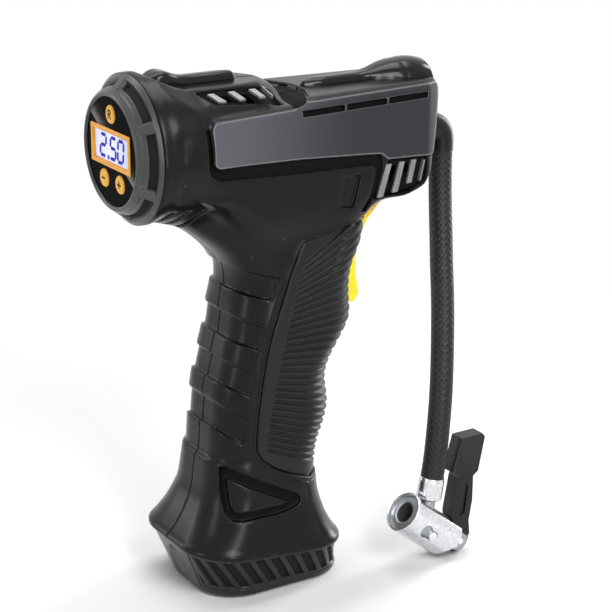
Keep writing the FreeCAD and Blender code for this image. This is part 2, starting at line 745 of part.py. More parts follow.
def side_recesses():
    """Everything sunk into the right side: channel, pane, slots, both vents and the creases under the barrel."""
    over = 6
    channel = on_side("side_channel", [
        (0.6, -3.2), (3.0, -4.8), (38.8, -6.5), (71.5, -9.3), (75.7, -9.8), (76.7, -14.3), (74.2, -24.3),
        (70.2, -31.3), (67.7, -30.8), (71.2, -25.3), (73.7, -16.3), (72.7, -13.3), (71.2, -12.9),
        (36.1, -11.1), (3.5, -8.6), (-0.5, -5.6)], s.side_groove_depth, over)
    pane = on_side("side_pane", [(58.7, -16.1), (66.5, -15.8), (63.2, -28.3), (57, -26.9)], s.pane_depth, over)
    pieces = [channel, pane]
    length = (s.side_slot_end - s.side_slot_start - 2 * s.side_slot_gap) / 3
    for number in range(3):
        start = s.side_slot_start - s.side_rear_x + number * (length + s.side_slot_gap)
        low = s.side_slot_rise
        pieces.append(on_side("side_slot_%d" % number, [
            (start, low), (start + length, low + 0.1), (start + length, low + s.side_slot_height),
            (start, low + s.side_slot_height)], s.side_slot_depth, over))
    pieces.append(on_side("nose_vent", [
        (79.2, -12.3), (97.9, -13.5), (98.6, -17), (97.8, -22.7), (90.1, -26.3), (73.4, -26.8)],
        s.vent_depth, over))
    pieces.append(on_shoulder("shoulder_vent", [(-39, 15), (-8.4, 15), (-5, 8), (-34.5, 8)], s.vent_depth, over))
    through = s.casing_wall + 1.5
    for number, (left, right) in enumerate(zip(SHOULDER_BARS, SHOULDER_BARS[1:])):
        pieces.append(on_shoulder("shoulder_slit_%d" % number, [
            (left[1] + 0.8, 13.2), (right[0] - 0.8, 13.2), (right[2] - 0.8, 9.6), (left[3] + 0.8, 9.6)],
            through, over))
    for number, (left, right) in enumerate(zip(NOSE_BARS, NOSE_BARS[1:])):
        pieces.append(on_side("nose_slit_%d" % number, [
            (left[1] + 0.7, -15.4), (right[0] - 0.7, -15.4), (right[2] - 0.4, -21.8), (left[3] + 1.2, -21.8)],
            through, over))
    return pieces


def handle_recesses():
    """Four pads on the back of the handle, sunk by one step."""
    pads = [
        [(-46, 133.4), (-8.8, 123.9), (-12.3, 116), (-46, 124.4)],
        [(-46, 119), (-15.3, 105.7), (-17.4, 97.6), (-46, 108.4)],
        [(-46, 102.4), (-19.6, 88.6), (-21.4, 80.3), (-46, 92.2)],
        [(-46, 86.9), (-22.3, 70.9), (-24.1, 61.3), (-46, 77.4)],
    ]
    zones = [extruded("palm_pad_%d" % number, points, 40, 40, plane="xz") for number, points in enumerate(pads)]
    return cut("palm_pads", common("palm_zone", handle_outer, fuse("palm_zones", zones)), [handle_step])


def skirt_channel():
    """The three-cornered channel on both sides of the skirt."""
    ring = cut("skirt_ring", extruded("skirt_ring_outer", [
        (-35.9, 55.8), (-33.4, 56.4), (-3.1, 36.3), (-5.3, 33.3), (-19.8, 32.4), (-32.8, 35.4), (-36.6, 40.0),
    ], 40, 40, plane="xz"), [extruded("skirt_ring_inner", [
        (-33.7, 52.6), (-8.6, 36.0), (-19.8, 35.2), (-31.6, 37.9), (-33.9, 41.0)], 41, 41, plane="xz")])
    return cut("skirt_skin", common("skirt_skin_zone", outer, ring), [
        skirt("channel", s.palm_step), handle_step])


# Slot that the trigger swings in
slot_half = s.trigger_half + s.trigger_gap


def trigger_slot(label):
    """Opening in the casing, and in the grip, that the trigger swings in."""
    return extruded(label, [
        (17.6, -s.trigger_slot_foot), (60, -s.trigger_slot_foot), (60, -46), (47.6, -33), (48, -20), (17.6, -20),
    ], slot_half, slot_half, plane="xz", at=(0, 0, axis))


GRIP_OUTLINE = [
    (20.9, 139.2), (1.7, 135.8), (-0.8, 132), (-4.2, 124.9), (-8.1, 114), (-11.5, 105), (-14.5, 93.8),
    (-16.3, 84.4), (-18.1, 72.8), (-19, 63), (-19, 58.2), (-16.8, 54.5), (-11.6, 50), (-5, 46.5), (4.4, 42.7),
    (44, 42.7), (44, 139.2)]


def grip_zone():
    """Side view of the rubber grip, swept right across the handle."""
    return extruded("grip_zone", GRIP_OUTLINE, 40, 40, plane="xz")


grip_side = grip_zone()
grip_seat = cut("grip_seat", grip_side, [handle_core])


def barrel_grooves():
    """Three short curved grooves under the barrel."""
    rings = fuse("groove_rings", [
        turned("groove_%d" % number, [
            (at - 1, 40), (at + 2.8, 40), (at + 1.6, s.barrel_radius - 1.2 - number * 0.45),
            (at + 0.3, s.barrel_radius - 1.2 - number * 0.45)], at=(0, 0, axis))
        for number, at in enumerate((-52.6, -48.2, -43.8))])
    return common("groove_zone", block("groove_box", (20, 60, 10.2), (-56, -30, axis - 26.2)), rings)


# Spine along the flat top: hump behind the flange and a raised bar
def spine(label, grow):
    """Top spine, or with a positive growth the channel that takes it."""
    plan = extruded(label + "_plan", [
        (-53.6 - grow, -4.6 - grow), (-50, -5.6 - grow), (-41, -4.2 - grow), (-38.5, -3.2 - grow),
        (-15.4 + grow, -3.2 - grow), (-15.4 + grow, 3.2 + grow), (-38.5, 3.2 + grow), (-41, 4.2 + grow),
        (-50, 5.6 + grow), (-53.6 - grow, 4.6 + grow)], 60, at=(0, 0, axis))
    flat = s.top_flat_rise
    crest = s.overall_height - axis
    side = extruded(label + "_side", [
        (-53.8 - grow, flat + 3.4), (-53.8 - grow, crest - 1.5 + 3 * grow), (-52.4, crest - 0.3 + 3 * grow),
        (-49.5, crest + 3 * grow), (-46.6, crest - 0.9 + 3 * grow), (-43.4, flat + 2 + 3 * grow),
        (-41.5, flat + 0.4 + 3 * grow), (-39.5, flat + 1.3 + 3 * grow), (-16.6, flat + 1.1 + 3 * grow),
        (-15.2 + grow, flat + 0.2 + 3 * grow), (-15.2 + grow, flat - 1.5), (-45.6, flat - 1.3), (-50.6, flat + 0.3),
    ], 12, 12, plane="xz", at=(0, 0, axis))
    return common(label, plan, side)


# Rail on the nose with the lamp boss at its front
lamp_z = axis + s.nose_top_rise - 0.6


def nose_rail(label, grow):
    """Nose rail and lamp boss, or with a positive growth the pocket that takes them."""
    top = s.nose_top_rise
    lift = 6 * grow
    plan = extruded(label + "_plan", [
        (7.5 - grow, 0), (12.5, -3.1 - grow), (36, -3.1 - grow), (41, -6.6 - grow), (62.5, -6.6 - grow),
        (65.6 + grow, -5 - grow), (65.6 + grow, 5 + grow), (62.5, 6.6 + grow), (41, 6.6 + grow),
        (36, 3.1 + grow), (12.5, 3.1 + grow)], 40, at=(0, 0, axis))
    side = extruded(label + "_side", [
        (7.5 - grow, top - 0.9), (7.5 - grow, top + 0.5 + lift), (10, top + 1.2 + lift), (37, top + 1.2 + lift),
        (42, top + 2.5 + lift), (62.5, top + 2.8 + lift), (65 + grow, top + 1.6 + lift), (65.6 + grow, top + lift),
        (65.6 + grow, top - 4.4), (57, top - 4.4), (57, top - 0.9)], 12, 12, plane="xz", at=(0, 0, axis))
    return common(label, plan, side)


def scoop():
    """Hollow where the barrel's top drops to the nose."""
    return extruded("scoop", [(-4.5, -7.5), (7, -4.6), (7, 4.6), (-4.5, 7.5)], 12,
                    at=(0, 0, axis + s.nose_top_rise - 0.8))


elbow_z = axis - s.elbow_drop
elbow_hole = rod("elbow_hole", s.elbow_radius + s.fit_gap, 12, "x", (nose_x - 8, 0, elbow_z))
recesses = side_recesses() + [handle_recesses(), skirt_channel(), barrel_grooves(), trigger_slot("trigger_slot"),
                              grip_seat, spine("spine_seat", s.fit_gap), nose_rail("rail_seat", s.fit_gap),
                              scoop(), elbow_hole]

# Screw bosses across the casing: place along, height, depth of the head from the middle plane
SCREWS = [
    ("barrel", -46.0, 153.2, 8.0),
    ("nose_top", 56.5, 180.0, 13.6),
    ("nose_low", 48.0, 152.8, 13.6),
    ("throat", -12.0, 129.0, 16.6),
    ("foot_front", 11.0, 25.6, 18.5),
    ("foot_rear", -34.6, 27.2, 16.0),
]
BASE_SCREWS = [("rear", -31.0, 19.4, 15.0), ("front", 5.5, 15.4, 15.5)]
add_cells(SCREWS, ("screw_x", "screw_z", "screw_seat"))
add_cells(BASE_SCREWS, ("base_screw_x", "base_screw_z", "base_screw_y"))
doc.recompute()


def screw_cells(name):
    """Place of one casing screw."""
    return [getattr(s, name + part) for part in ("_screw_x", "_screw_z", "_screw_seat")]


def casing_bosses():
    """Bosses that join the two shells, ribs that hold the motor and the pump frame, and base bosses."""
    pieces = []
    for name, *_ in SCREWS:
        x, z, _ = screw_cells(name)
        pieces.append(rod("boss_" + name, s.boss_radius, 60, "y", (x, -30, z)))
    for name, *_ in BASE_SCREWS:
        x = getattr(s, name + "_base_screw_x")
        z = getattr(s, name + "_base_screw_z")
        y = getattr(s, name + "_base_screw_y")
        pieces.append(rod("base_boss_" + name, s.boss_radius, s.base_boss_tall, "z", (x, -y, z)))
        pieces.append(block("base_web_" + name, (s.web_thickness, 20, s.base_boss_tall - s.web_setback),
                            (x - s.web_thickness / 2, -y - 20, z + s.web_setback)))
    window = s.motor_radius + s.motor_seat_gap
    pieces.append(cut("motor_rib", block("motor_rib_plate", (3.0, 60, 49), (-50.0, -30, axis - 30)), [
        rod("motor_rib_bore", window, 6, "x", (-52, 0, motor_z))]))
    frame_plate = block("frame_rib_plate", (2.0, 60, 44), (s.motor_front_x - 2.05, -30, axis - 24))
    pieces.append(cut("frame_rib", frame_plate, [
        block("frame_rib_window", (4, 31, 60), (s.motor_front_x - 3, -15.5, axis - 30))]))
    return common("casing_inside", right_bay, fuse("casing_inside_parts", pieces))


def base_cores():
    """Thread cores for the screws of the base cap."""
    holes = []
    for name, *_ in BASE_SCREWS:
        x = getattr(s, name + "_base_screw_x")
        z = getattr(s, name + "_base_screw_z")
        y = getattr(s, name + "_base_screw_y")
        holes.append(rod("base_core_" + name, s.screw_radius, 9, "z", (x, -y, z - 1)))
    return holes


def screw_cores():
    """Thread cores of the casing screws in the right shell."""
    return [rod("core_" + name, s.screw_radius, 9, "y", (screw_cells(name)[0], -8, screw_cells(name)[1]))
            for name, *_ in SCREWS]


def screw_passes():
    """Clearance holes and room for the heads in the left shell."""
    holes = []
    for name, *_ in SCREWS:
        x, z, head = screw_cells(name)
        holes.append(rod("pass_" + name, s.screw_radius + s.fit_gap, 30, "y", (x, -1, z)))
        holes.append(rod("sink_" + name, s.screw_head_radius + s.fit_gap, 30, "y", (x, head, z)))
    return holes


def trigger_lug():
    """Lug inside the nose that holds one end of the trigger pin."""
    lug = extruded("trigger_lug", [
        (s.trigger_pin_x - 3.4, -30), (s.trigger_pin_x + 3.4, -30), (s.trigger_pin_x + 3.4, -s.trigger_pin_drop + 2),
        (s.trigger_pin_x + 1.6, -s.trigger_pin_drop + 3.4), (s.trigger_pin_x - 1.6, -s.trigger_pin_drop + 3.4),
        (s.trigger_pin_x - 3.4, -s.trigger_pin_drop + 2)], 3.4, plane="xz", at=(0, -slot_half, axis))
    return common("trigger_lug_inside", right_bay, lug)


side_box = block("right_half_space", (260, 90, 260), (-130, -90, -20))
right_outer = common("right_outer", outer, side_box)
right_bay = common("right_bay", bay, side_box)
doc.recompute()
right_walls = cut("right_walls", right_outer, [right_bay] + recesses)
pin_hole = rod("pin_hole", s.trigger_pin_radius, 2 * s.trigger_pin_half, "y",
               (s.trigger_pin_x, -s.trigger_pin_half, axis - s.trigger_pin_drop))
half_casing = cut("half_casing", fuse("right_with_bosses", [right_walls, casing_bosses(), trigger_lug()]),
                  base_cores() + [pin_hole, trigger_slot("trigger_clearance")])
node("right_shell", cut("right_casing", half_casing, screw_cores()))
node("left_shell", cut("left_casing", mirrored("left_blank", half_casing), screw_passes()))
doc.recompute()


# Display head
def bezel():
    """Cone round the display, with a spigot, six long slots and a pointed bright rib at each bridge."""
    depth = s.bezel_depth
    inner = s.window_radius
    spigot = s.barrel_radius - s.casing_wall - s.fit_gap
    ring = turned("bezel_blank", [
        (0, inner + 0.4),
        (0, s.bezel_front_radius - 0.5),
        (0.5, s.bezel_front_radius),
        (depth - 1.0, s.bezel_root_radius),
        (depth, s.flange_radius),
        (depth, spigot),
        (depth + s.bezel_spigot, spigot),
        (depth + s.bezel_spigot, spigot - 2),
        (s.bezel_recess + s.face_thickness, spigot - 2),
        (s.bezel_recess + s.face_thickness, inner + 1.2),
        (s.bezel_recess, inner + 1.2),
        (s.bezel_recess, inner),
    ], at=(rear_x, 0, axis))
    slots = []
    count = int(s.bezel_slot_count.number)
    slope = (s.bezel_root_radius - s.bezel_front_radius) / (depth - 1.5)
    for number in range(count):
        start = 1.9
        end = start + s.bezel_slot_width
        low = s.bezel_front_radius - s.bezel_slot_depth
        turn = Rotation(Vector(1, 0, 0), 360.0 * number / count + 30 - num(s.bezel_slot_angle) / 2)
        slots.append(turned("bezel_slot_%d" % number, [
            (start, low + start * slope), (end, low + end * slope), (end, low + end * slope + 8),
            (start, low + start * slope + 8)], at=(rear_x, 0, axis), angle=s.bezel_slot_angle, rotation=turn))
    return cut("bezel", ring, slots)


node("bezel_ring", bezel())
face_x = rear_x + s.bezel_recess
face_back = face_x + s.face_thickness
screen_y = s.display_width / 2 - s.display_border
screen_z = s.display_height / 2 - s.display_border
display_z = axis + s.display_rise
KEYS = [("button_reset", none, s.reset_rise), ("button_minus", s.key_spread, -s.key_drop),
        ("button_plus", -s.key_spread, -s.key_drop)]
plate = rod("face_disc", s.window_radius + 1.1, s.face_thickness, "x", (face_x, 0, axis))
window = block("face_window", (s.face_thickness + 2, 2 * screen_y + 2.4, 2 * screen_z + 2.4),
               (face_x - 1, -screen_y - 1.2, display_z - screen_z - 1.2))
key_holes = [rod(name + "_hole", s.button_radius + s.fit_gap, s.face_thickness + 2, "x",
                 (face_x - 1, across, axis + rise)) for name, across, rise in KEYS]
node("face_plate", cut("face", plate, [window] + key_holes))
frame_outer = block("lcd_frame_outer", (1.6, s.display_width, s.display_height),
                    (face_x - 0.6, -s.display_width / 2, display_z - s.display_height / 2))
frame_lip = block("lcd_frame_lip", (s.face_thickness, 2 * screen_y + 2.2, 2 * screen_z + 2.2),
                  (face_x, -screen_y - 1.1, display_z - screen_z - 1.1))
frame_window = block("lcd_frame_window", (8, 2 * screen_y, 2 * screen_z),
                     (face_x - 2, -screen_y, display_z - screen_z))
frame_keep = block("lcd_frame_keep", (0.6, 80, 80), (face_x - 0.6, -40, axis - 40))
frame_face = common("lcd_frame_face", frame_outer, frame_keep)
node("lcd_frame", cut("lcd_surround", fuse("lcd_frame_blank", [frame_face, frame_lip]), [frame_window]))
node("lcd_panel", fuse("lcd_module", [
    block("lcd_glass", (s.face_thickness - 0.2, 2 * screen_y - 0.2, 2 * screen_z - 0.2),
          (face_x + 0.2, -screen_y + 0.1, display_z - screen_z + 0.1)),
    block("lcd_back", (s.lcd_depth, 2 * screen_y + 3.4, 2 * screen_z + 3.4),
          (face_back, -screen_y - 1.7, display_z - screen_z - 1.7))]))
for name, across, rise in KEYS:
    cap = turned(name + "_cap", [
        (-s.button_proud, 0), (-s.button_proud, s.button_radius - 0.5), (0.5 - s.button_proud, s.button_radius),
        (s.face_thickness, s.button_radius), (s.face_thickness, s.button_radius + 0.8),
        (s.face_thickness + 0.6, s.button_radius + 0.8), (s.face_thickness + 0.6, 1.4),
        (s.face_thickness + 1.9 - s.button_travel, 1.4), (s.face_thickness + 1.9 - s.button_travel, 0)],
        at=(face_x, across, axis + rise))
    node(name, cap)
board_x = face_back + s.lcd_depth
board = rod("display_board_disc", s.window_radius - 0.5, s.board_thickness, "x", (board_x, 0, axis))
switches = [block("tact_%d" % number, (s.lcd_depth - 1.9, 3.6, 3.6),
                  (face_back + 1.9, across - 1.8, axis + rise - 1.8)) for number, (_, across, rise) in enumerate(KEYS)]
pegs = [rod("board_peg_%d" % number, 1.2, s.lcd_depth, "x",
            (face_back, (s.window_radius - 2.2) * side, axis)) for number, side in enumerate((-1, 1))]
node("display_board", fuse("display_board_parts", [board] + switches + pegs))

# Top trim
node("top_spine", spine("spine", none))
lens_bore = rod("lens_bore", s.lamp_radius + s.fit_gap, 20, "x", (nose_x - 9, 0, lamp_z))
node("nose_rail", cut("rail", nose_rail("rail_blank", none), [lens_bore]))
node("lamp_lens", turned("lamp_lens_body", [
    (0, 0), (0, s.lamp_radius), (2.6, s.lamp_radius), (3.3, s.lamp_radius - 0.6),
    (3.7, s.lamp_radius - 1.6), (3.8, 0)],
    at=(nose_x - 4.4, 0, lamp_z)))
node("lamp_led", turned("lamp_led_body", [
    (0, 0), (0, s.lamp_radius), (0.8, s.lamp_radius), (0.8, 1.2), (2.4, 1.2), (3.4, 0.6), (3.6, 0)],
    at=(nose_x - 9, 0, lamp_z)))


# Silver bars of the four vents
right_upper = group("right_upper_set", slanted_bars(
    "shoulder_bar", SHOULDER_BARS, 13.9, on_shoulder, s.vent_depth, s.vent_bar_height))
right_nose = group("right_nose_set", slanted_bars(
    "nose_bar", NOSE_BARS, -14.0, on_side, s.vent_depth, s.vent_bar_height))
node("right_upper_bars", right_upper)
node("left_upper_bars", mirrored("left_upper_set", right_upper))
node("right_nose_bars", right_nose)
node("left_nose_bars", mirrored("left_nose_set", right_nose))


# Grip and trigger
def rib_valleys():
    """Valleys between the ribs of the grip: they fall to the front low down and rise to it higher up."""
    valleys = []
    width = s.rib_pitch - s.rib_width
    last = s.rib_count.number - 1
    for number in range(int(s.rib_count.number)):
        share = number / last
        low = s.rib_low_z + number * s.rib_pitch
        left = -14.6 + 17.5 * share ** 1.3
        slope = -0.42 + 0.3 * share + 0.66 * share ** 2
        run = 52.0
        end = low + slope * run
        valleys.append(extruded("rib_valley_%d" % number, [
            (left, low + 0.25 * width), (left + 0.8, low + slope * 0.8), (left + run, end),
            (left + run, end + width), (left + 0.8, low + slope * 0.8 + width), (left, low + 0.75 * width)],
            40, 40, plane="xz"))
    return fuse("rib_valleys", valleys)


right_sleeve = cut("grip_blank", common("grip_outer", right_outer, grip_side), [
    handle_core, trigger_slot("grip_slot")])
right_valleys = common("right_rib_valleys", rib_valleys(), side_box)
right_grip = cut("right_grip", right_sleeve, [cut("rib_cutter", right_valleys, [handle_step])])
node("grip_sleeve", fuse("grip", [right_grip, mirrored("left_grip", right_grip)]))

pin_z = axis - s.trigger_pin_drop
blade = extruded("trigger_blade", [
    (24, -69.8), (34.5, -70.5), (36.3, -67.3), (35.5, -63.5), (34.8, -60.3), (34.5, -53.3), (35.8, -45.8),
    (39.5, -38.8), (45, -33.2), (46.6, -31.0), (46.6, -26.2), (38, -20.8), (29, -20.8), (24.4, -25), (24, -38.3)],
    s.trigger_half, s.trigger_half, plane="xz", at=(0, 0, axis))
hollow_back = extruded("trigger_hollow", [
    (20, -66), (29.5, -66), (30.4, -53), (31, -45), (31, -36), (20, -36)],
    s.trigger_half - 1.6, s.trigger_half - 1.6, plane="xz", at=(0, 0, axis))
pin_bore = rod("trigger_bore", s.trigger_pin_radius + s.running_gap, 20, "y", (s.trigger_pin_x, -10, pin_z))
spring_room = rod("spring_room", s.spring_radius + 1.0, 2 * s.spring_room_half, "y",
                  (s.trigger_pin_x, -s.spring_room_half, pin_z))
leg_room = block("spring_leg_room", (16, 2 * s.spring_room_half, 3.2),
                 (s.trigger_pin_x - 16, -s.spring_room_half, pin_z + 1.2))
trigger_blank = cut("trigger_blank", blade, [hollow_back, pin_bore, spring_room, leg_room])


def finger_edge(edge):
    """Long edges down both sides of the trigger's front."""
    middle = edge.CenterOfGravity
    return (edge.BoundBox.YLength < 0.1 and abs(abs(middle.y) - num(s.trigger_half)) < 0.01
            and middle.x > 33 and middle.z < num(axis) - 34 and edge.Length > 2.5)


node("trigger", rounded("trigger_body", trigger_blank, 1.4, finger_edge))
node("trigger_pin", rod("trigger_pin_bar", s.trigger_pin_radius, 2 * s.trigger_pin_half, "y",
                        (s.trigger_pin_x, -s.trigger_pin_half, pin_z)))


def torsion_spring():
    """Coil round the trigger pin, of a wire drawn with six flats."""
    wire = num(s.spring_wire)
    radius = num(s.spring_radius)
    turns = 3
    pitch = 2 * wire + 0.2
    helix = Part.makeHelix(pitch, turns * pitch, radius)
    corners = [Vector(radius + wire * math.cos(math.radians(60 * step)), 0, wire * math.sin(math.radians(60 * step)))
               for step in range(7)]
    profile = Part.makePolygon(corners)
    coil = Part.Wire(helix.Edges).makePipeShell([profile], True, True)
    coil.rotate(Vector(), Vector(1, 0, 0), -90)
    coil.rotate(Vector(), Vector(0, 1, 0), -90)
    coil.translate(Vector(num(s.trigger_pin_x), -turns * pitch / 2, num(pin_z)))
    return coil


spring = doc.addObject("Part::Feature", "trigger_coil")
spring.Shape = torsion_spring()
node("trigger_spring", spring)

# Trigger switch behind the trigger
switch_x = s.switch_front_x - s.switch_length
node("trigger_switch", fuse("switch_parts", [
    block("switch_case", (s.switch_length, s.switch_width, s.switch_tall),
          (switch_x, -s.switch_width / 2, s.switch_z)),
    rod("switch_plunger", 2.0, 2.4, "x", (s.switch_front_x, 0, s.switch_z + s.switch_tall / 2)),
    block("switch_tabs", (5, 1, 3), (switch_x + 2, -0.5, s.switch_z + s.switch_tall)),
    block("switch_shelf", (s.switch_length - 2, 34.6, 1.6), (switch_x + 1, -17.3, s.switch_z - 1.6))]))


# Base cap
def cap_loft(label, inset, low):
    """Body of the base cap from the rim down to the foot."""
    turn = rim_turn()
    back = s.cap_setback + inset
    top = (s.rim_centre_x, 0, s.rim_height - s.rim_lip - s.fit_gap)
    return lofted(label, [
        rounded_section(label + "_top", s.rim_length - 2 * back, 2 * s.rim_half_width - 2 * back,
                        s.rim_corner - back, top, turn),
        rounded_section(label + "_foot", s.foot_length - 2 * inset, 2 * s.foot_half_width - 2 * inset,
                        s.foot_corner - inset, (s.foot_centre_x, 0, low))], ruled=True)


def cap_flutes():
    """Slanted flutes round the front and sides of the base cap, closed at their feet."""
    flutes = []
    count = int(s.cap_flute_count.number)
    for number in range(count):
        at = -24.0 + number * s.cap_rib_pitch
        flutes.append(extruded("flute_%d" % number, [
            (at, 30), (at + s.cap_flute_width, 30), (at + s.cap_flute_width + 6.5, 3.2), (at + 6.5, 3.2)],
            40, 40, plane="xz"))
    keep = cap_loft("flute_floor", s.cap_rib_depth, -1 * s.cap_rib_depth)
    return cut("flute_cutter", fuse("flute_set", flutes), [keep])


def port_block(label, clearance):
    """Upright oval through the rear wall of the base cap."""
    length = 2 * s.port_half_width + 2 * clearance
    height = 2 * s.port_half_height + 2 * clearance
    return lofted(label, [
        rounded_section("%s_end_%d" % (label, number), length, height, s.port_half_width + clearance - 0.1,
                        (s.rim_centre_x - s.rim_length / 2 + away, 0, s.port_rise), DRAWN_IN["yz"])
        for number, away in enumerate((-3, 14))], ruled=True)


posts = []
drills = []
for name, *_ in BASE_SCREWS:
    post_x = getattr(s, name + "_base_screw_x")
    post_z = getattr(s, name + "_base_screw_z")
    post_y = getattr(s, name + "_base_screw_y")
    for side in (-1, 1):
        tag = "%s_%d" % (name, side)
        posts.append(rod("cap_post_" + tag, s.cap_post_radius, post_z - s.fit_gap, "z", (post_x, side * post_y, 0)))
        drills.append(rod("cap_drill_" + tag, s.screw_radius + s.fit_gap, 40, "z", (post_x, side * post_y, -1)))
        drills.append(rod("cap_sink_" + tag, s.screw_head_radius + s.fit_gap, s.cap_sink + 1, "z",
                          (post_x, side * post_y, -1)))
cap_room = cut("cap_room", cap_loft("cap_inner", s.casing_wall, none), [
    block("cap_floor", (120, 90, s.cap_floor), (-80, -45, 0))])
tray = cut("cap_tray", cap_loft("cap_outer", none, none), [
    cap_room,
    cap_flutes(),
    cut("port_recess", port_block("port_room", s.fit_gap), [cap_loft("port_floor", s.port_depth, none - 2)])])
port_blank = common("port_blank", cap_loft("port_skin", none, none), port_block("port_plug", none))
node("port_cover", cut("port_lid", port_blank, [cap_loft("port_back", s.port_depth - s.fit_gap, none - 2)]))
node("base_cap", cut("cap", fuse("cap_with_posts", [tray] + [
    common("cap_post_set", cap_loft("cap_post_zone", none, none), fuse("cap_posts", posts))]), drills))


# Motor, gears and fan
motor_rear = s.motor_front_x - s.motor_length
crank_z = motor_z - s.gear_module * (s.pinion_teeth + s.gear_teeth) / 2
gear_front = s.motor_front_x + s.frame_thickness + s.gear_gap + s.gear_width


def motor_can():
    """Drawn steel can with its end cap, bearing collars and two screw holes in the front."""
    wall = s.motor_can_wall
    length = s.motor_length
    can = turned("motor_can_blank", [
        (0, s.shaft_radius + s.running_gap), (-1.2, s.shaft_radius + s.running_gap), (-1.2, 3.4), (0, 3.4),
        (0, s.motor_radius - 0.8), (0.8, s.motor_radius), (length, s.motor_radius),
        (length, s.shaft_radius + s.running_gap), (length - 2, s.shaft_radius + s.running_gap),
        (length - 2, s.motor_radius - wall), (2, s.motor_radius - wall), (2, s.shaft_radius + s.running_gap)],
        at=(motor_rear, 0, motor_z))
    holes = [rod("motor_screw_hole_%d" % side, s.frame_screw_radius, 4, "x",
                 (s.motor_front_x - 3, side * s.motor_screw_spread, motor_z)) for side in (-1, 1)]
    return cut("can", can, holes)


node("motor_can", motor_can())
magnet_outer = s.motor_radius - s.motor_can_wall - s.running_gap
magnet_inner = magnet_outer - s.magnet_thickness
magnet_tube = turned("magnet_tube", [
    (5, magnet_inner), (5, magnet_outer), (27, magnet_outer), (27, magnet_inner)],
    at=(motor_rear, 0, motor_z))
node("motor_magnets", cut("magnets", magnet_tube, [
    block("magnet_gap", (40, 7, 40), (motor_rear, -3.5, motor_z - 20))]))
armature = magnet_inner - s.armature_gap
shaft_end = s.motor_length + s.frame_thickness + s.gear_gap + s.gear_width + 0.4
node("motor_rotor", turned("rotor", [
    (-6, 0), (-6, s.shaft_radius), (2.6, s.shaft_radius), (2.6, 3.4), (6, 3.4), (6, armature), (26, armature),
    (26, 3), (28.6, 3), (28.6, s.shaft_radius), (shaft_end, s.shaft_radius), (shaft_end, 0)],
    at=(motor_rear, 0, motor_z)))


def plane_of(body, role):
    """Origin plane or axis of a body by its role."""
    return next(item for item in body.Origin.OriginFeatures if item.Role == role)


def body_sketch(body, name):
    """Sketch on the flat origin plane of a body."""
    sketch = body.newObject("Sketcher::SketchObject", name)
    sketch.AttachmentSupport = (plane_of(body, "XY_Plane"), [""])
    sketch.MapMode = "FlatFace"
    return sketch


def circle_on(sketch, radius):
    """Circle about the sketch origin."""
    index = sketch.addGeometry(Part.Circle(Vector(), Vector(0, 0, 1), num(radius)), False)
    sketch.addConstraint(Sketcher.Constraint("Coincident", index, 3, -1, 1))
    number = sketch.addConstraint(Sketcher.Constraint("Radius", index, num(radius)))
    sketch.setExpression("Constraints[%d]" % number, radius.text)


def toothed_wheel(label, teeth, bore, at):
    """Spur gear: a pad with one tooth gap cut through it and repeated round the axis."""
    body = doc.addObject("PartDesign::Body", label)
    disc = body_sketch(body, label + "_disc")
    circle_on(disc, s.gear_module * (teeth + 2 * s.tooth_tip) / 2)
    circle_on(disc, bore)
    pad = body.newObject("PartDesign::Pad", label + "_pad")
    pad.Profile = disc
    pad.setExpression("Length", s.gear_width.text)
    pitch = s.gear_module * teeth / 2
    half = s.gear_module * 0.785 + s.gear_backlash
    gap = body_sketch(body, label + "_gap")
    corners = [(pitch - s.gear_module * 1.3, -1 * (half - s.gear_module * 0.42)), (pitch, -1 * half),
               (pitch + s.gear_module * 1.15, -1 * (half + s.gear_module * 0.5)),
               (pitch + s.gear_module * 1.15, half + s.gear_module * 0.5), (pitch, half),
               (pitch - s.gear_module * 1.3, half - s.gear_module * 0.42)]
    points = [Vector(num(a), num(b), 0) for a, b in corners]
    for index in range(len(points)):
        gap.addGeometry(Part.LineSegment(points[index], points[(index + 1) % len(points)]), False)
    for index in range(len(points)):
        gap.addConstraint(Sketcher.Constraint("Coincident", index, 2, (index + 1) % len(points), 1))
    for index, (across, along) in enumerate(corners):
        hold_corner(gap, "DistanceX", index, across)
        hold_corner(gap, "DistanceY", index, along)
    doc.recompute()
    pocket = body.newObject("PartDesign::Pocket", label + "_tooth_gap")
    pocket.Profile = gap
    pocket.Type = 1
    pocket.Reversed = True
    pattern = body.newObject("PartDesign::PolarPattern", label + "_teeth")
    pattern.Originals = [pocket]
    pattern.Axis = (plane_of(body, "Z_Axis"), [""])
    pattern.Angle = 360
    pattern.setExpression("Occurrences", teeth.text)
    body.Tip = pattern
    return seat(body, at, DRAWN_IN["yz"])


gear_rear = gear_front - s.gear_width
node("pinion", toothed_wheel("pinion_wheel", s.pinion_teeth, s.shaft_radius, (gear_rear, 0, motor_z)))
wheel = toothed_wheel("crank_wheel", s.gear_teeth, s.axle_radius, (gear_rear, 0, crank_z))
dish = turned("wheel_dish", [(3.2, 9.4), (3.2, 11.6), (9, 11.6), (9, 9.4)], at=(gear_rear, 0, crank_z))
crank_bore = rod("crank_bore", s.crank_pin_radius + s.fit_gap, 9, "x",
                 (gear_front - 3, 0, crank_z - s.crank_radius))
node("crank_gear", cut("crank", wheel, [dish, crank_bore]))
bush_rear = s.motor_front_x - 1.6
node("gear_axle", turned("axle", [
    (-2.4, 0), (-2.4, s.axle_radius), (-1.8, s.axle_radius), (-1.8, s.axle_radius + 1), (-1.1, s.axle_radius + 1),
    (-1.1, s.axle_radius), (gear_front - s.motor_front_x, s.axle_radius), (gear_front - s.motor_front_x, 0)],
    at=(s.motor_front_x - 0.6, 0, crank_z)))
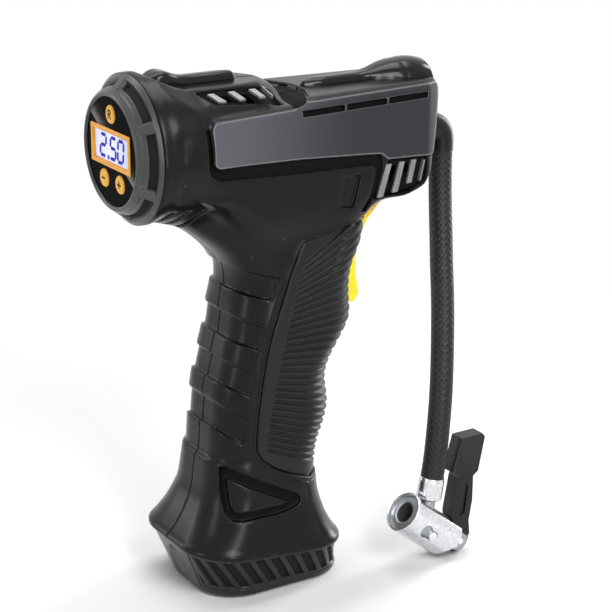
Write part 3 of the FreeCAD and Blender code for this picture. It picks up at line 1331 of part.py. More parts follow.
node("axle_bush", turned("bush", [
    (0, s.axle_radius + s.running_gap), (0, s.bush_radius), (s.frame_thickness + 1.6, s.bush_radius),
    (s.frame_thickness + 1.6, s.axle_radius + s.running_gap)], at=(bush_rear, 0, crank_z)))


def fan():
    """Fan on the rear end of the motor shaft: a hub and slanted blades."""
    at = motor_rear - 5.4
    count = int(s.fan_blades.number)
    blades = [extruded("fan_blade_%d" % number, [(0.2, -1.9), (0.9, -1.9), (2.9, 1.9), (2.2, 1.9)], s.fan_radius,
                       at=(at, 0, motor_z), rotation=Rotation(Vector(1, 0, 0), 360.0 * number / count))
              for number in range(count)]
    hub = rod("fan_hub", 3.2, 3.1, "x", (at, 0, motor_z))
    bore = rod("fan_bore", s.shaft_radius, 12, "x", (at - 3, 0, motor_z))
    return cut("fan", fuse("fan_blank", [hub] + blades), [bore])


node("cooling_fan", fan())

# Pump
tray_top = crank_z + s.tray_rise
cylinder_outer = s.cylinder_bore_radius + s.cylinder_wall
head_half = cylinder_outer + 0.8
bolt_spread = s.head_bolt_spread
cylinder_top = tray_top + s.cylinder_length
head_top = cylinder_top + s.head_height


def pump_frame():
    """Steel plate behind the gears with two cheeks and a shelf for the cylinder."""
    plate = extruded("frame_plate", [
        (-17.4, -25), (17.4, -25), (17.4, 8), (10, 15), (-10, 15), (-17.4, 8)], s.frame_thickness,
        plane="yz", at=(s.motor_front_x, 0, axis))
    front = s.cylinder_x + head_half
    low = crank_z + 3.5 - axis
    cheeks = [extruded("frame_cheek_%d" % side, [
        (s.motor_front_x + 1, low), (front, tray_top - axis - 3), (front, tray_top - axis),
        (s.motor_front_x + 1, tray_top - axis + 6)], 1.8, plane="xz",
        at=(0, 17.4 if side > 0 else -15.6, axis)) for side in (-1, 1)]
    shelf = block("frame_shelf", (front + 10, 34.8, s.frame_thickness), (-10, -17.4, tray_top - s.frame_thickness))
    holes = [rod("shaft_window", 4.9, 8, "x", (s.motor_front_x - 3, 0, motor_z)),
             rod("bush_seat", s.bush_radius, 8, "x", (s.motor_front_x - 3, 0, crank_z)),
             rod("rod_window", s.cylinder_bore_radius - 0.6, 8, "z", (s.cylinder_x, 0, tray_top - 5)),
             block("pin_window", (s.cylinder_x + 14, 2 * s.crank_pin_radius + 1, 8),
                   (-14, -s.crank_pin_radius - 0.5, tray_top - 5))]
    for side in (-1, 1):
        holes.append(rod("plate_screw_hole_%d" % side, s.frame_screw_radius + s.fit_gap, 8, "x",
                         (s.motor_front_x - 3, side * s.motor_screw_spread, motor_z)))
        for end in (-1, 1):
            holes.append(rod("shelf_bolt_hole_%d_%d" % (side, end), s.frame_screw_radius, 8, "z",
                             (s.cylinder_x + end * bolt_spread, side * bolt_spread, tray_top - 5)))
    return cut("frame", fuse("frame_blank", [plate, shelf] + cheeks), holes)


node("pump_frame", pump_frame())
fins = [point for number in range(4) for point in (
    (3 + 3.2 * number, cylinder_outer), (3 + 3.2 * number, cylinder_outer + s.fin_height),
    (4 + 3.2 * number, cylinder_outer + s.fin_height), (4 + 3.2 * number, cylinder_outer))]
node("cylinder", turned("cylinder_barrel", [
    (0, s.cylinder_bore_radius), (0, cylinder_outer + s.fin_height), (1.2, cylinder_outer + s.fin_height),
    (1.2, cylinder_outer)] + fins + [(s.cylinder_length, cylinder_outer), (s.cylinder_length, s.cylinder_bore_radius)],
    "z", at=(s.cylinder_x, 0, tray_top)))


def cylinder_head():
    """Square head with four bolt holes, an outlet stub to the front and two rows of ribs."""
    blank = block("head_block", (2 * head_half + 1.6, 2 * head_half + 1.6, s.head_height),
                  (s.cylinder_x - head_half - 0.8, -head_half - 0.8, cylinder_top))
    stub = rod("head_stub", 2.2, 5, "x", (s.cylinder_x + head_half + 0.5, 0, cylinder_top + s.head_height / 2))
    holes = [rod("head_bolt_hole_%d_%d" % (side, end), s.frame_screw_radius + s.fit_gap, 12, "z",
                 (s.cylinder_x + end * bolt_spread, side * bolt_spread, cylinder_top - 2))
             for side in (-1, 1) for end in (-1, 1)]
    grooves = [block("head_groove_%d" % number, (40, 1.2, 3), (-20, -5.4 + 2.4 * number, head_top - 1.4))
               for number in range(5)]
    return cut("head", fuse("head_blank", [blank, stub]), holes + grooves)


node("cylinder_head", cylinder_head())
pin_rest = crank_z - s.crank_radius
crown = pin_rest + s.rod_length
rod_blank = fuse("rod_blank", [
    rod("rod_eye", s.crank_pin_radius + 1.6, 4.8, "x", (s.cylinder_x - 2.4, 0, pin_rest)),
    block("rod_shank", (3.4, 4.4, s.rod_length - 4), (s.cylinder_x - 1.7, -2.2, pin_rest)),
    rod("rod_disc", s.cylinder_bore_radius - 1.2, 1.2, "z", (s.cylinder_x, 0, crown - 4)),
    rod("rod_spigot", 3, 2.4, "z", (s.cylinder_x, 0, crown - 3.2))])
node("connecting_rod", cut("rod_body", rod_blank, [
    rod("rod_eye_bore", s.crank_pin_radius, 8, "x", (s.cylinder_x - 4, 0, pin_rest))]))
node("crank_pin", rod("crank_pin_bar", s.crank_pin_radius, s.cylinder_x + 2.8 - gear_front - s.open_pivot_gap, "x",
                      (gear_front + s.open_pivot_gap, 0, pin_rest)))
seal_edge = s.cylinder_bore_radius - s.running_gap
node("piston_seal", turned("seal", [
    (0, 3), (0, seal_edge - 0.4), (0.8, seal_edge), (2.8, seal_edge), (2.8, s.cylinder_bore_radius - 1),
    (2.0, s.cylinder_bore_radius - 1.4), (2.0, 3)], "z", at=(s.cylinder_x, 0, crown - 2.8)))
node("piston_cap", turned("cap_disc", [
    (0, 0), (0, s.cylinder_bore_radius - 1.6), (0.7, s.cylinder_bore_radius - 2), (0.8, 0)],
    "z", at=(s.cylinder_x, 0, crown - 0.8)))


def screw(label, radius, length, head_radius, head_height, along, at, sign):
    """Screw with its head beyond the given point and its shank back along the axis."""
    reach = length if sign > 0 else -1 * length
    lift = head_height if sign > 0 else -1 * head_height
    return turned(label, [(-1 * reach, 0), (-1 * reach, radius), (0, radius), (0, head_radius), (lift, head_radius),
                          (lift, 0)], along, at=at)


screws = [screw("motor_screw_%d" % side, s.frame_screw_radius, 3.6, 2.0, 1.2, "x",
                (s.motor_front_x + s.frame_thickness, side * s.motor_screw_spread, motor_z), 1) for side in (-1, 1)]
bolt_length = s.cylinder_length + s.head_height + 1.6
screws += [screw("head_bolt_%d_%d" % (side, end), s.frame_screw_radius, bolt_length, 2.0, 1.4, "z",
                 (s.cylinder_x + end * bolt_spread, side * bolt_spread, head_top), 1)
           for side in (-1, 1) for end in (-1, 1)]
node("frame_screws", group("frame_screw_set", screws))


# Air way from the pump to the elbow
def route(points, bend=None):
    """Path of straight runs joined by tangent arcs, with each bend as large as its two runs allow."""
    points = [Vector(*point) for point in points]
    edges = []
    radii = []
    start = points[0]
    for before, corner, after in zip(points, points[1:], points[2:]):
        inward = (before - corner)
        outward = (after - corner)
        shorter = min(inward.Length, outward.Length)
        inward.normalize()
        outward.normalize()
        half_turn = (math.pi - inward.getAngle(outward)) / 2
        radius = bend if bend else 0.45 * shorter / math.tan(half_turn)
        back = radius * math.tan(half_turn)
        first = corner + inward * back
        last = corner + outward * back
        middle_way = inward + outward
        middle_way.normalize()
        middle = corner + middle_way * (radius / math.cos(half_turn) - radius)
        if (first - start).Length > 1e-6:
            edges.append(Part.LineSegment(start, first).toShape())
        edges.append(Part.Arc(first, middle, last).toShape())
        radii.append(round(radius, 1))
        start = last
    edges.append(Part.LineSegment(start, points[-1]).toShape())
    return Part.Wire(edges), radii


def tube(label, points, radius, bend=None, bore=None):
    """Round tube along a path."""
    path, radii = route(points, bend)
    first = path.Edges[0]
    direction = first.tangentAt(first.FirstParameter)
    profile = Part.Wire([Part.makeCircle(radius, Vector(*points[0]), direction)])
    shape = path.makePipeShell([profile], True, False)
    if bore:
        core = Part.Wire([Part.makeCircle(bore, Vector(*points[0]), direction)])
        shape = shape.cut(path.makePipeShell([core], True, False))
    piece = doc.addObject("Part::Feature", label)
    piece.Shape = shape
    piece.Placement = Placement()
    print(label, "bend radii", radii, "length %.1f" % path.Length,
          "volume ratio %.4f" % (shape.Volume / (math.pi * (radius ** 2 - (bore or 0) ** 2) * path.Length)))
    return piece


elbow_run = [num(s.elbow_x), num(elbow_z), num(s.elbow_end_z)]
flange_front = nose_x - s.elbow_inset
elbow_tube = tube("elbow_tube", [
    (num(flange_front), 0, elbow_run[1]), (elbow_run[0], 0, elbow_run[1]), (elbow_run[0], 0, elbow_run[2])],
    num(s.elbow_radius), num(s.elbow_bend))
elbow_flange = rod("elbow_flange", s.elbow_radius + 1.5, 2.0, "x", (flange_front - 2.0, 0, elbow_z))
collar = turned("elbow_collar", [(0, 0), (0, s.elbow_radius + 0.9), (1.6, s.elbow_radius + 0.9), (2.4, 0)],
                at=(nose_x + 0.15, 0, elbow_z))
node("hose_elbow", fuse("elbow", [elbow_tube, elbow_flange, collar]))
HOSE = [(77.0, 0.0, 157.0), (77.0, 0.0, 149.5), (76.5, -1.0, 141.8), (75.3, -3.2, 133.8), (73.4, -6.7, 124.5),
        (70.9, -11.0, 113.0), (68.4, -15.8, 101.5), (64.5, -21.8, 85.0), (60.9, -26.7, 67.5), (57.4, -29.8, 51.0),
        (55.507, -30.73, 40.035), (54.635, -30.73, 34.886)]
node("hose", tube("hose_tube", HOSE, num(s.hose_radius)))
outlet_z = cylinder_top + s.head_height / 2
fitting_x = flange_front - 2.0 - s.fitting_length
outlet_start = s.cylinder_x + head_half + 5.5
node("outlet_tube", tube("outlet_pipe", [
    (num(outlet_start), 0, num(outlet_z)), (num(outlet_start) + 9, 0, num(outlet_z)),
    (num(fitting_x) - 7, 0, num(elbow_z)), (num(fitting_x), 0, num(elbow_z))], num(s.outlet_radius)))
node("hose_fitting", turned("fitting", [
    (0, 0), (0, 2.9), (3.4, 2.9), (3.4, 4.4), (7.4, 4.4), (7.4, 3.0), (s.fitting_length, 3.0), (s.fitting_length, 0)],
    at=(fitting_x, 0, elbow_z)))

# Main board in the nose, with its larger parts
board_z = s.nose_low_screw_z + s.boss_radius + s.fit_gap
node("main_board", fuse("main_board_parts", [
    block("main_board_sheet", (s.board_length, s.board_thickness, s.board_tall), (s.board_rear_x, s.board_y, board_z)),
    block("main_board_relay", (8, 4, 7), (s.board_rear_x + 3, s.board_y + s.board_thickness, board_z + 5)),
    block("main_board_chip", (6, 1.6, 6), (s.board_rear_x + 13, s.board_y - 1.6, board_z + 8)),
    block("main_board_plug", (6, 4, 8), (s.board_rear_x + 14, s.board_y + s.board_thickness, board_z + 14)),
    rod("main_board_cap", 2.5, 7, "z", (s.board_rear_x + 6, s.board_y + s.board_thickness + 2.5, board_z + 15))]))

# Battery pack, built upright and then leaned to follow the handle
lean = Placement(Vector(num(s.pack_x), 0, num(s.pack_z)), Rotation(Vector(0, 1, 0), num(s.pack_lean)))
half_pitch = s.cell_pitch / 2
row = s.cell_pitch * 0.433
CELLS = [("rear", -1 * half_pitch, -1 * row), ("front", half_pitch, -1 * row), ("left", none, row)]


def leaned(thing):
    """Sets an upright piece of the battery pack at its lean in the handle."""
    thing.Placement = lean
    thing.setExpression("Placement.Base.x", s.pack_x.text)
    thing.setExpression("Placement.Base.z", s.pack_z.text)
    thing.setExpression("Placement.Rotation.Angle", s.pack_lean.text)
    return thing


cells = [turned("cell_" + name, [
    (0, 0), (0, s.cell_radius - 0.6), (0.6, s.cell_radius), (s.cell_length - 2, s.cell_radius),
    (s.cell_length - 1.4, s.cell_radius - 0.6), (s.cell_length - 1.2, 3), (s.cell_length, 3), (s.cell_length, 0)],
    "z", at=(across, aside, 0)) for name, across, aside in CELLS]
node("battery_cells", leaned(group("cell_set", cells)))
plate_length = s.cell_pitch + 2 * s.cell_radius - 0.6
plate_width = 2 * row + 2 * s.cell_radius - 0.6
spine_low = block("holder_spine", (3.2, 2.6, s.cell_length + 1), (-1.6, -1 * row - s.cell_radius + 0.4, -0.5))
cradle = [lofted("holder_" + name, [
    rounded_section("holder_%s_under" % name, plate_length, plate_width, s.cell_radius, (0, 0, low)),
    rounded_section("holder_%s_over" % name, plate_length, plate_width, s.cell_radius, (0, 0, high))], ruled=True)
    for name, low, high in (("foot", -1 * s.holder_thickness - s.fit_gap, -1 * s.fit_gap),
                            ("top", s.cell_length + s.fit_gap, s.cell_length + s.holder_thickness + s.fit_gap))]
rails = [rod("holder_rail_%d" % side, 1.6, s.cell_length + 1, "z",
             (side * (half_pitch + 3.2), row + 3.4, -0.5)) for side in (-1, 1)]
node("battery_holder", leaned(fuse("holder", cradle + rails + [spine_low])))

# Fasteners of the casing and of the base
casing_set = [screw("casing_screw_" + name, s.screw_radius, screw_cells(name)[2] + 6, s.screw_head_radius,
                    s.screw_head_height, "y", (screw_cells(name)[0], screw_cells(name)[2], screw_cells(name)[1]), 1)
              for name, *_ in SCREWS]
node("casing_screws", group("casing_screw_set", casing_set))
base_set = []
for name, *_ in BASE_SCREWS:
    for side in (-1, 1):
        base_set.append(screw(
            "base_screw_%s_%d" % (name, side), s.screw_radius, getattr(s, name + "_base_screw_z") - s.cap_sink + 6,
            s.screw_head_radius, s.screw_head_height, "z", (
                getattr(s, name + "_base_screw_x"), side * getattr(s, name + "_base_screw_y"), s.cap_sink), -1))
node("base_screws", group("base_screw_set", base_set))

# Chuck: drawn in its own frame with the mouth at the origin and the tube along X, then set at its lean
chuck_place = Placement(Vector(), Rotation(Vector(0, 1, 0), num(s.chuck_pitch)))


def in_chuck(thing):
    """Carries a finished piece from the chuck's own frame to its place at the end of the hose."""
    thing.Placement = chuck_place
    thing.setExpression("Placement.Base.x", s.chuck_x.text)
    thing.setExpression("Placement.Base.y", s.chuck_y.text)
    thing.setExpression("Placement.Base.z", s.chuck_z.text)
    return thing


chuck_bore = s.chuck_radius - s.chuck_wall
length = s.chuck_length
shell_tube = turned("chuck_tube", [
    (0, chuck_bore + 0.2), (0, s.chuck_radius - 0.3), (0.3, s.chuck_radius), (length, s.chuck_radius),
    (length, chuck_bore), (0.4, chuck_bore)])
keyhole = [rod("key_big", s.guide_pin_radius + 0.8, 12, "y", (s.guide_x - 4.1, -14, s.guide_z + 0.3)),
           rod("key_small", s.guide_pin_radius + s.fit_gap, 12, "y", (s.guide_x, -14, s.guide_z)),
           block("key_slot", (4.1, 12, 2 * (s.guide_pin_radius + s.fit_gap)),
                 (s.guide_x - 4.1, -14, s.guide_z - s.guide_pin_radius - s.fit_gap))]
node("chuck_shell", in_chuck(cut("chuck_cover", shell_tube, keyhole + [
    block("chuck_slot", (40, 2 * s.chuck_slot_half, 20), (s.chuck_slot_start, -s.chuck_slot_half, 1)),
    extruded("chuck_scoop", [(length - 3.6, -12), (length + 1, -12), (length + 1, -1), (length - 0.8, -1.6),
                             (length - 2.6, -4.5)], 12, 12, plane="xz")])))
core_radius = chuck_bore - s.running_gap
body_end = s.lever_x - s.lever_cam_radius - 2.6
body_blank = turned("chuck_core", [
    (1.0, s.valve_radius + 0.5), (1.5, core_radius), (body_end - 1, core_radius), (body_end, core_radius - 1),
    (body_end, 0), (1.0, 0)])
valve_way = turned("valve_way", [
    (-1, 0), (-1, s.valve_radius + 0.5), (1.0, s.valve_radius + 0.5), (s.valve_chamfer, s.valve_radius),
    (s.seal_seat, s.valve_radius), (s.seal_seat, s.seal_radius), (s.valve_depth, s.seal_radius), (s.valve_depth, 0)])
ferrule_run = Vector(4.7, 0, -8.7).normalize()
stem_turn = Rotation(Vector(0, 0, 1), ferrule_run)
stem = doc.addObject("Part::Cylinder", "chuck_stem")
bind(stem, "Radius", s.stem_radius)
bind(stem, "Height", s.stem_length)
seat(stem, (s.ferrule_foot_x, 0, s.ferrule_foot_z), stem_turn)
ears = [extruded("chuck_ear_%d" % side, [
    (body_end - 2, -3.4), (s.lever_x + 1.6, -2.2), (s.lever_x + 3.2, 0.4), (s.lever_x + 3.2, 3.2),
    (s.lever_x + 1.4, s.lever_rise + 3.2), (body_end - 2, 5.0)], s.ear_thickness, plane="xz",
    at=(0, s.ear_outer if side > 0 else s.ear_thickness - s.ear_outer, 0)) for side in (-1, 1)]
pin_hole_tool = rod("lever_pin_hole", s.lever_pin_radius, 40, "y", (s.lever_x, -20, s.lever_rise))
guide_hole = rod("guide_hole", s.guide_pin_radius, 3, "y", (s.guide_x, -core_radius - 1, s.guide_z))
lever_room = extruded("lever_room", [
    (s.lever_x - s.lever_cam_radius - 0.5, -9), (s.lever_x + 9, -9), (s.lever_x + 9, 12),
    (s.lever_x - s.lever_cam_radius - 0.5, 12)], s.lever_half + 0.15, s.lever_half + 0.15, plane="xz")
node("chuck_body", in_chuck(cut("chuck_body_all", fuse("chuck_body_blank", [body_blank, stem] + ears), [
    valve_way, pin_hole_tool, guide_hole, lever_room])))
node("chuck_seal", in_chuck(turned("seal_ring", [
    (s.seal_seat + 0.05, 2.6), (s.seal_seat + 0.05, s.seal_radius - s.running_gap),
    (s.valve_depth - 0.05, s.seal_radius - s.running_gap), (s.valve_depth - 0.05, 1.6),
    (s.valve_depth - 1.8, 1.6)])))
guide_bar = turned("guide_pin_body", [
    (0, 0), (0, s.guide_pin_radius - 0.02), (2.6, s.guide_pin_radius - 0.02),
    (3.0, s.guide_pin_radius - 0.5), (3.1, 0)],
    at=(s.guide_x, -core_radius + 2, s.guide_z), rotation=Rotation(Vector(0, 0, 1), -90))
node("guide_pin", in_chuck(group("guide_pin_set", [guide_bar])))
pin_radius = s.lever_pin_radius - 0.02
pin_reach = s.ear_outer + 0.5
lever_bar = turned("lever_pin_body", [
    (-pin_reach, 0), (-pin_reach, pin_radius - 0.4), (0.4 - pin_reach, pin_radius), (pin_reach - 0.4, pin_radius),
    (pin_reach, pin_radius - 0.4), (pin_reach, 0)], "y", at=(s.lever_x, 0, s.lever_rise))
node("lever_pin", in_chuck(group("lever_pin_set", [lever_bar])))


def chuck_lever():
    """Cam lever: round cam, tapered arm and a broad thumb paddle with a teardrop recess on each side."""
    arm = extruded("lever_arm", [
        (24.9, 4.2), (20.3, 9), (13.3, 22.2), (13.2, 23.2), (9.1, 22.9), (3.8, 36.2), (11.9, 42.6), (13.8, 42.1),
        (20.2, 29.3), (19.4, 26.5), (25.7, 18.3), (29.8, 10.7), (33.9, 6.4), (33.6, 1.0), (29.8, 0.4)],
        s.lever_half, s.lever_half, plane="xz")
    cam = rod("lever_cam", s.lever_cam_radius, 2 * s.lever_half, "y", (s.lever_x, -s.lever_half, s.lever_rise))
    drops = [extruded("lever_recess_%d" % side, [
        (24.6, 10.6), (22.0, 13.4), (17.8, 21.2), (18.6, 22.4), (20.0, 21.8), (25.8, 12.2)], 0.7, plane="xz",
        at=(0, (0.7 if side < 0 else 0) + side * s.lever_half, 0)) for side in (-1, 1)]
    bore = rod("lever_bore", s.lever_pin_radius + s.running_gap, 20, "y", (s.lever_x, -10, s.lever_rise))
    return cut("lever", fuse("lever_blank", [arm, cam]), drops + [bore])


node("chuck_lever", in_chuck(chuck_lever()))
ferrule = turned("ferrule_body", [
    (0, s.stem_radius + s.fit_gap), (0, s.ferrule_radius - 1.4), (1.0, s.ferrule_radius),
    (s.ferrule_length - 1.2, s.ferrule_radius), (s.ferrule_length - 0.9, s.ferrule_radius - 0.3),
    (s.ferrule_length, s.ferrule_radius - 0.3), (s.ferrule_length, 0), (2.6, 0), (2.6, s.stem_radius + s.fit_gap)],
    at=(s.ferrule_foot_x, 0, s.ferrule_foot_z), rotation=Rotation(Vector(1, 0, 0), ferrule_run * -1))
node("ferrule", in_chuck(group("ferrule_set", [ferrule])))

doc.recompute()


def broken_objects():
    """Objects that failed to build, and sub-parts without a sound shape."""
    bad = [item.Label for item in doc.Objects if "Invalid" in item.State or "Error" in item.State]
    bad += [piece.Label for piece in NODES if piece.Shape.isNull() or not piece.Shape.isValid()]
    return bad


faults = broken_objects()
if faults:
    raise SystemExit("not built: " + ", ".join(faults))
os.makedirs("parts", exist_ok=True)
for piece in NODES:
    piece.Shape.exportStep("parts/%s.step" % piece.Label)
print(len(NODES), "sub-parts written")
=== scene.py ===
"""Looks of a pistol-shaped portable tyre inflator, dressed round its packed construction.

X points to the nose, Z is up, the display faces -X and the side that the camera sees faces -Y. Shapes are
worked out in millimetres and become metres in new_piece; the studio is in metres. A rise is a height above
the axis of the display head.
"""

import json
import logging
import math
from contextlib import contextmanager
from dataclasses import dataclass
from enum import Enum
from typing import Iterator, Sequence

import bmesh
import bpy
import numpy as np
import openvdb
from mathutils import Matrix, Vector

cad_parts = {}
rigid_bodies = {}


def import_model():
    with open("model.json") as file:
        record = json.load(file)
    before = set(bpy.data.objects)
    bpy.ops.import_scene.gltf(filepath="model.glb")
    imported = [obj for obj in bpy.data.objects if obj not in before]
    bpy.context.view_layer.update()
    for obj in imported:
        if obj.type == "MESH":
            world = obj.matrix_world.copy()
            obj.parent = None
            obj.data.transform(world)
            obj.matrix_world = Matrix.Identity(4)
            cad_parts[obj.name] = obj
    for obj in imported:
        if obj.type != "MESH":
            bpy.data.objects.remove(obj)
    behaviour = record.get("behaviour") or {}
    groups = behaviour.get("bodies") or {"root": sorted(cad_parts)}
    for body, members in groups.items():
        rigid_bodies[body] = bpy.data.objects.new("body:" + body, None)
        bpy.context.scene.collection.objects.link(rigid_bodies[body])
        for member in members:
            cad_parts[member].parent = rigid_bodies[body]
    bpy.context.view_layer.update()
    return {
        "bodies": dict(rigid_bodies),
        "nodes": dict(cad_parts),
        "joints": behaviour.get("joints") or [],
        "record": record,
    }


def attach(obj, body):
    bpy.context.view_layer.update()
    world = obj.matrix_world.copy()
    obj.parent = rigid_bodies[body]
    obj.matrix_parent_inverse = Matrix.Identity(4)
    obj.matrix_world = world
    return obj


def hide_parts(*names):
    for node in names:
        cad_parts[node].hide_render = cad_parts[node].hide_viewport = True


MM = 0.001
HEAD_AXIS = 174.3
LOG = logging.getLogger("inflator")
Flat = tuple[float, float]
Point = tuple[float, float, float]
Tree = bpy.types.NodeTree
Socket = bpy.types.NodeSocket

# Sections of handle and throat: height, rear edge, front edge, half width, corner rounding
HANDLE = (
    (26.0, -35.0, 11.0, 21.0, 15.0), (42.0, -34.0, 12.0, 21.3, 15.0), (54.0, -32.6, 13.2, 21.3, 15.0),
    (61.0, -32.2, 16.4, 21.3, 15.0), (69.0, -31.7, 18.7, 21.3, 15.0), (75.0, -31.1, 17.7, 21.3, 15.0),
    (80.0, -30.3, 16.5, 21.3, 15.0), (86.5, -28.9, 18.4, 21.3, 15.0), (93.0, -27.0, 22.6, 21.3, 15.0),
    (102.0, -24.4, 28.6, 21.3, 15.0), (112.0, -23.4, 27.3, 21.3, 15.0), (122.0, -21.0, 28.0, 21.3, 15.0),
    (130.0, -22.4, 32.5, 21.0, 15.0), (136.0, -30.0, 34.5, 20.0, 14.5), (141.0, -43.0, 36.0, 17.0, 13.0),
    (147.0, -54.0, 36.0, 11.0, 9.0))
# Rear edge of the rubber grip from its top to its foot: place along the body and height
GRIP_EDGE = (
    (20.9, 139.2), (1.7, 135.8), (-0.8, 132.0), (-4.2, 124.9), (-8.1, 114.0), (-11.5, 105.0), (-14.5, 93.8),
    (-16.3, 84.4), (-18.1, 72.8), (-19.0, 63.0), (-19.0, 58.2), (-16.8, 54.5), (-11.6, 50.0), (-5.0, 46.5),
    (4.4, 42.7))


class Side(Enum):
    """The two sides of the casing, as the sign of Y."""

    RIGHT = -1
    LEFT = 1


class Body(Enum):
    """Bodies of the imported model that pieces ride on."""

    CASING = "casing"
    RESET = "key_reset"
    MINUS = "key_minus"
    PLUS = "key_plus"


def linear(colour: str) -> tuple[float, float, float, float]:
    """Turns an sRGB hex value into the linear colour that shaders take.

    Args:
        colour: six hex digits after a hash.

    Returns:
        Red, green, blue and a full alpha.
    """
    shares = [int(colour[place:place + 2], 16) / 255 for place in (1, 3, 5)]
    red, green, blue = (share / 12.92 if share <= 0.04045 else ((share + 0.055) / 1.055) ** 2.4
                        for share in shares)
    return red, green, blue, 1.0


def add_node(tree: Tree, kind: str, inputs: dict) -> bpy.types.Node:
    """Adds one shader node with its settings and the links into it.

    Args:
        tree: node tree of the material or world.
        kind: the node's type name, less its prefix.
        inputs: properties, which come first, then values of inputs and the sockets that feed them, by name or
            number. Stops are those of a colour ramp.

    Returns:
        The new node.
    """
    made = tree.nodes.new("ShaderNode" + kind)
    for key, value in inputs.items():
        if key == "stops":
            for number, (place, colour) in enumerate(value):
                stop = made.color_ramp.elements[number] if number < 2 else made.color_ramp.elements.new(place)
                stop.position, stop.color = place, colour
        elif isinstance(value, Socket):
            tree.links.new(value, made.inputs[key])
        elif isinstance(key, int) or key in made.inputs:
            made.inputs[key].default_value = value
        else:
            setattr(made, key, value)
    return made


@dataclass(frozen=True)
class Finish:
    """A surface: the stuff, the way it was made, and the relief that comes of it."""

    name: str
    colour: str
    roughness: float
    metallic: float = 0.0
    ior: float = 1.5
    coat: float = 0.0
    specular: float = 0.5
    grain_mm: float = 0.4
    relief_mm: float = 0.004
    cloud_mm: float = 14.0
    cloud: float = 0.12
    edge: float = 0.25
    edge_colour: str = "#8b8d90"
    # Floors of recesses that the mesh marks deep: a painted shade colour and a rougher surface
    shaded_recesses: bool = False
    recess_shade_colour: str = "#020203"
    recess_roughness: float = 0.9

    def material(self) -> bpy.types.Material:
        """Returns the finish as a node material, made once."""
        made = bpy.data.materials.get(self.name)
        if made:
            return made
        made = bpy.data.materials.new(self.name)
        made.use_nodes = True
        tree = made.node_tree
        tree.nodes.clear()
        place = add_node(tree, "TexCoord", {}).outputs["Object"]
        shader = add_node(tree, "BsdfPrincipled", {
            "Base Color": linear(self.colour), "Roughness": self.roughness, "Metallic": self.metallic,
            "IOR": self.ior, "Specular IOR Level": self.specular, "Coat Weight": self.coat,
            "Coat Roughness": 0.06} | self.dressing(tree, place))
        add_node(tree, "OutputMaterial", {"Surface": shader.outputs["BSDF"]})
        return made

    def dressing(self, tree: Tree, place: Socket) -> dict[str, Socket | float]:
        """Clouding of colour and gloss, rubbed edges, the fine relief, and painted shade in recesses where
        asked.

        Args:
            tree: the material's node tree.
            place: object coordinates.

        Returns:
            Inputs of the shader by name.
        """
        cloud = self.clouding(tree, place)
        gloss = add_node(tree, "MapRange", {
            "Value": cloud, "To Min": self.roughness * (1 - self.cloud),
            "To Max": self.roughness * (1 + self.cloud)})
        inputs = {"Base Color": self.rubbed(tree, self.base(tree, place), cloud),
                  "Roughness": gloss.outputs["Result"], "Normal": self.relief(tree, place)}
        return self.shade_recesses(tree, inputs) if self.shaded_recesses else inputs

    def shade_recesses(self, tree: Tree, inputs: dict[str, Socket | float]) -> dict[str, Socket | float]:
        """Paints the floors of recesses black as painted shade and makes them rougher, where the points of
        the mesh say so.
        """
        deep = add_node(tree, "Attribute", {"attribute_name": "deep"}).outputs["Fac"]
        colour = add_node(tree, "Mix", {
            "data_type": "RGBA", 0: deep, 6: inputs["Base Color"], 7: linear(self.recess_shade_colour)})
        rough = add_node(tree, "Mix", {0: deep, 2: inputs["Roughness"], 3: self.recess_roughness})
        return inputs | {"Base Color": colour.outputs[2], "Roughness": rough.outputs[0]}

    def clouding(self, tree: Tree, place: Socket) -> Socket:
        """Slow unevenness, as handling and moulding leave it."""
        return add_node(tree, "TexNoise", {
            "Vector": place, "Scale": 1000 / self.cloud_mm, "Detail": 4.0}).outputs["Fac"]

    def base(self, tree: Tree, place: Socket) -> Socket:
        """Main colour, a little lighter in the flecks of the grain."""
        fleck = add_node(tree, "TexNoise",
                         {"Vector": place, "Scale": 1000 / (self.grain_mm * 3), "Detail": 2.0})
        light = tuple(min(1.0, share * 1.25 + 0.004) for share in linear(self.colour)[:3]) + (1.0,)
        return add_node(tree, "ValToRGB", {
            "stops": [(0.35, linear(self.colour)), (0.75, light)],
            "Fac": fleck.outputs["Fac"]}).outputs["Color"]

    def rubbed(self, tree: Tree, base: Socket, cloud: Socket) -> Socket:
        """Edges rubbed paler, in patches."""
        point = add_node(tree, "NewGeometry", {}).outputs["Pointiness"]
        edge = add_node(tree, "MapRange",
                        {"Value": point, "From Min": 0.53, "From Max": 0.66, "To Max": self.edge})
        patch = add_node(tree, "Math", {"operation": "MULTIPLY", 0: edge.outputs["Result"], 1: cloud})
        return add_node(tree, "Mix", {
            "data_type": "RGBA", 0: patch.outputs["Value"], 6: base, 7: linear(self.edge_colour)}).outputs[2]

    def relief(self, tree: Tree, place: Socket) -> Socket:
        """Fine relief of the surface."""
        grain = add_node(tree, "TexNoise", {"Vector": place, "Scale": 1000 / self.grain_mm, "Detail": 3.0})
        return add_node(tree, "Bump", {
            "Distance": self.relief_mm * MM, "Height": grain.outputs["Fac"]}).outputs["Normal"]


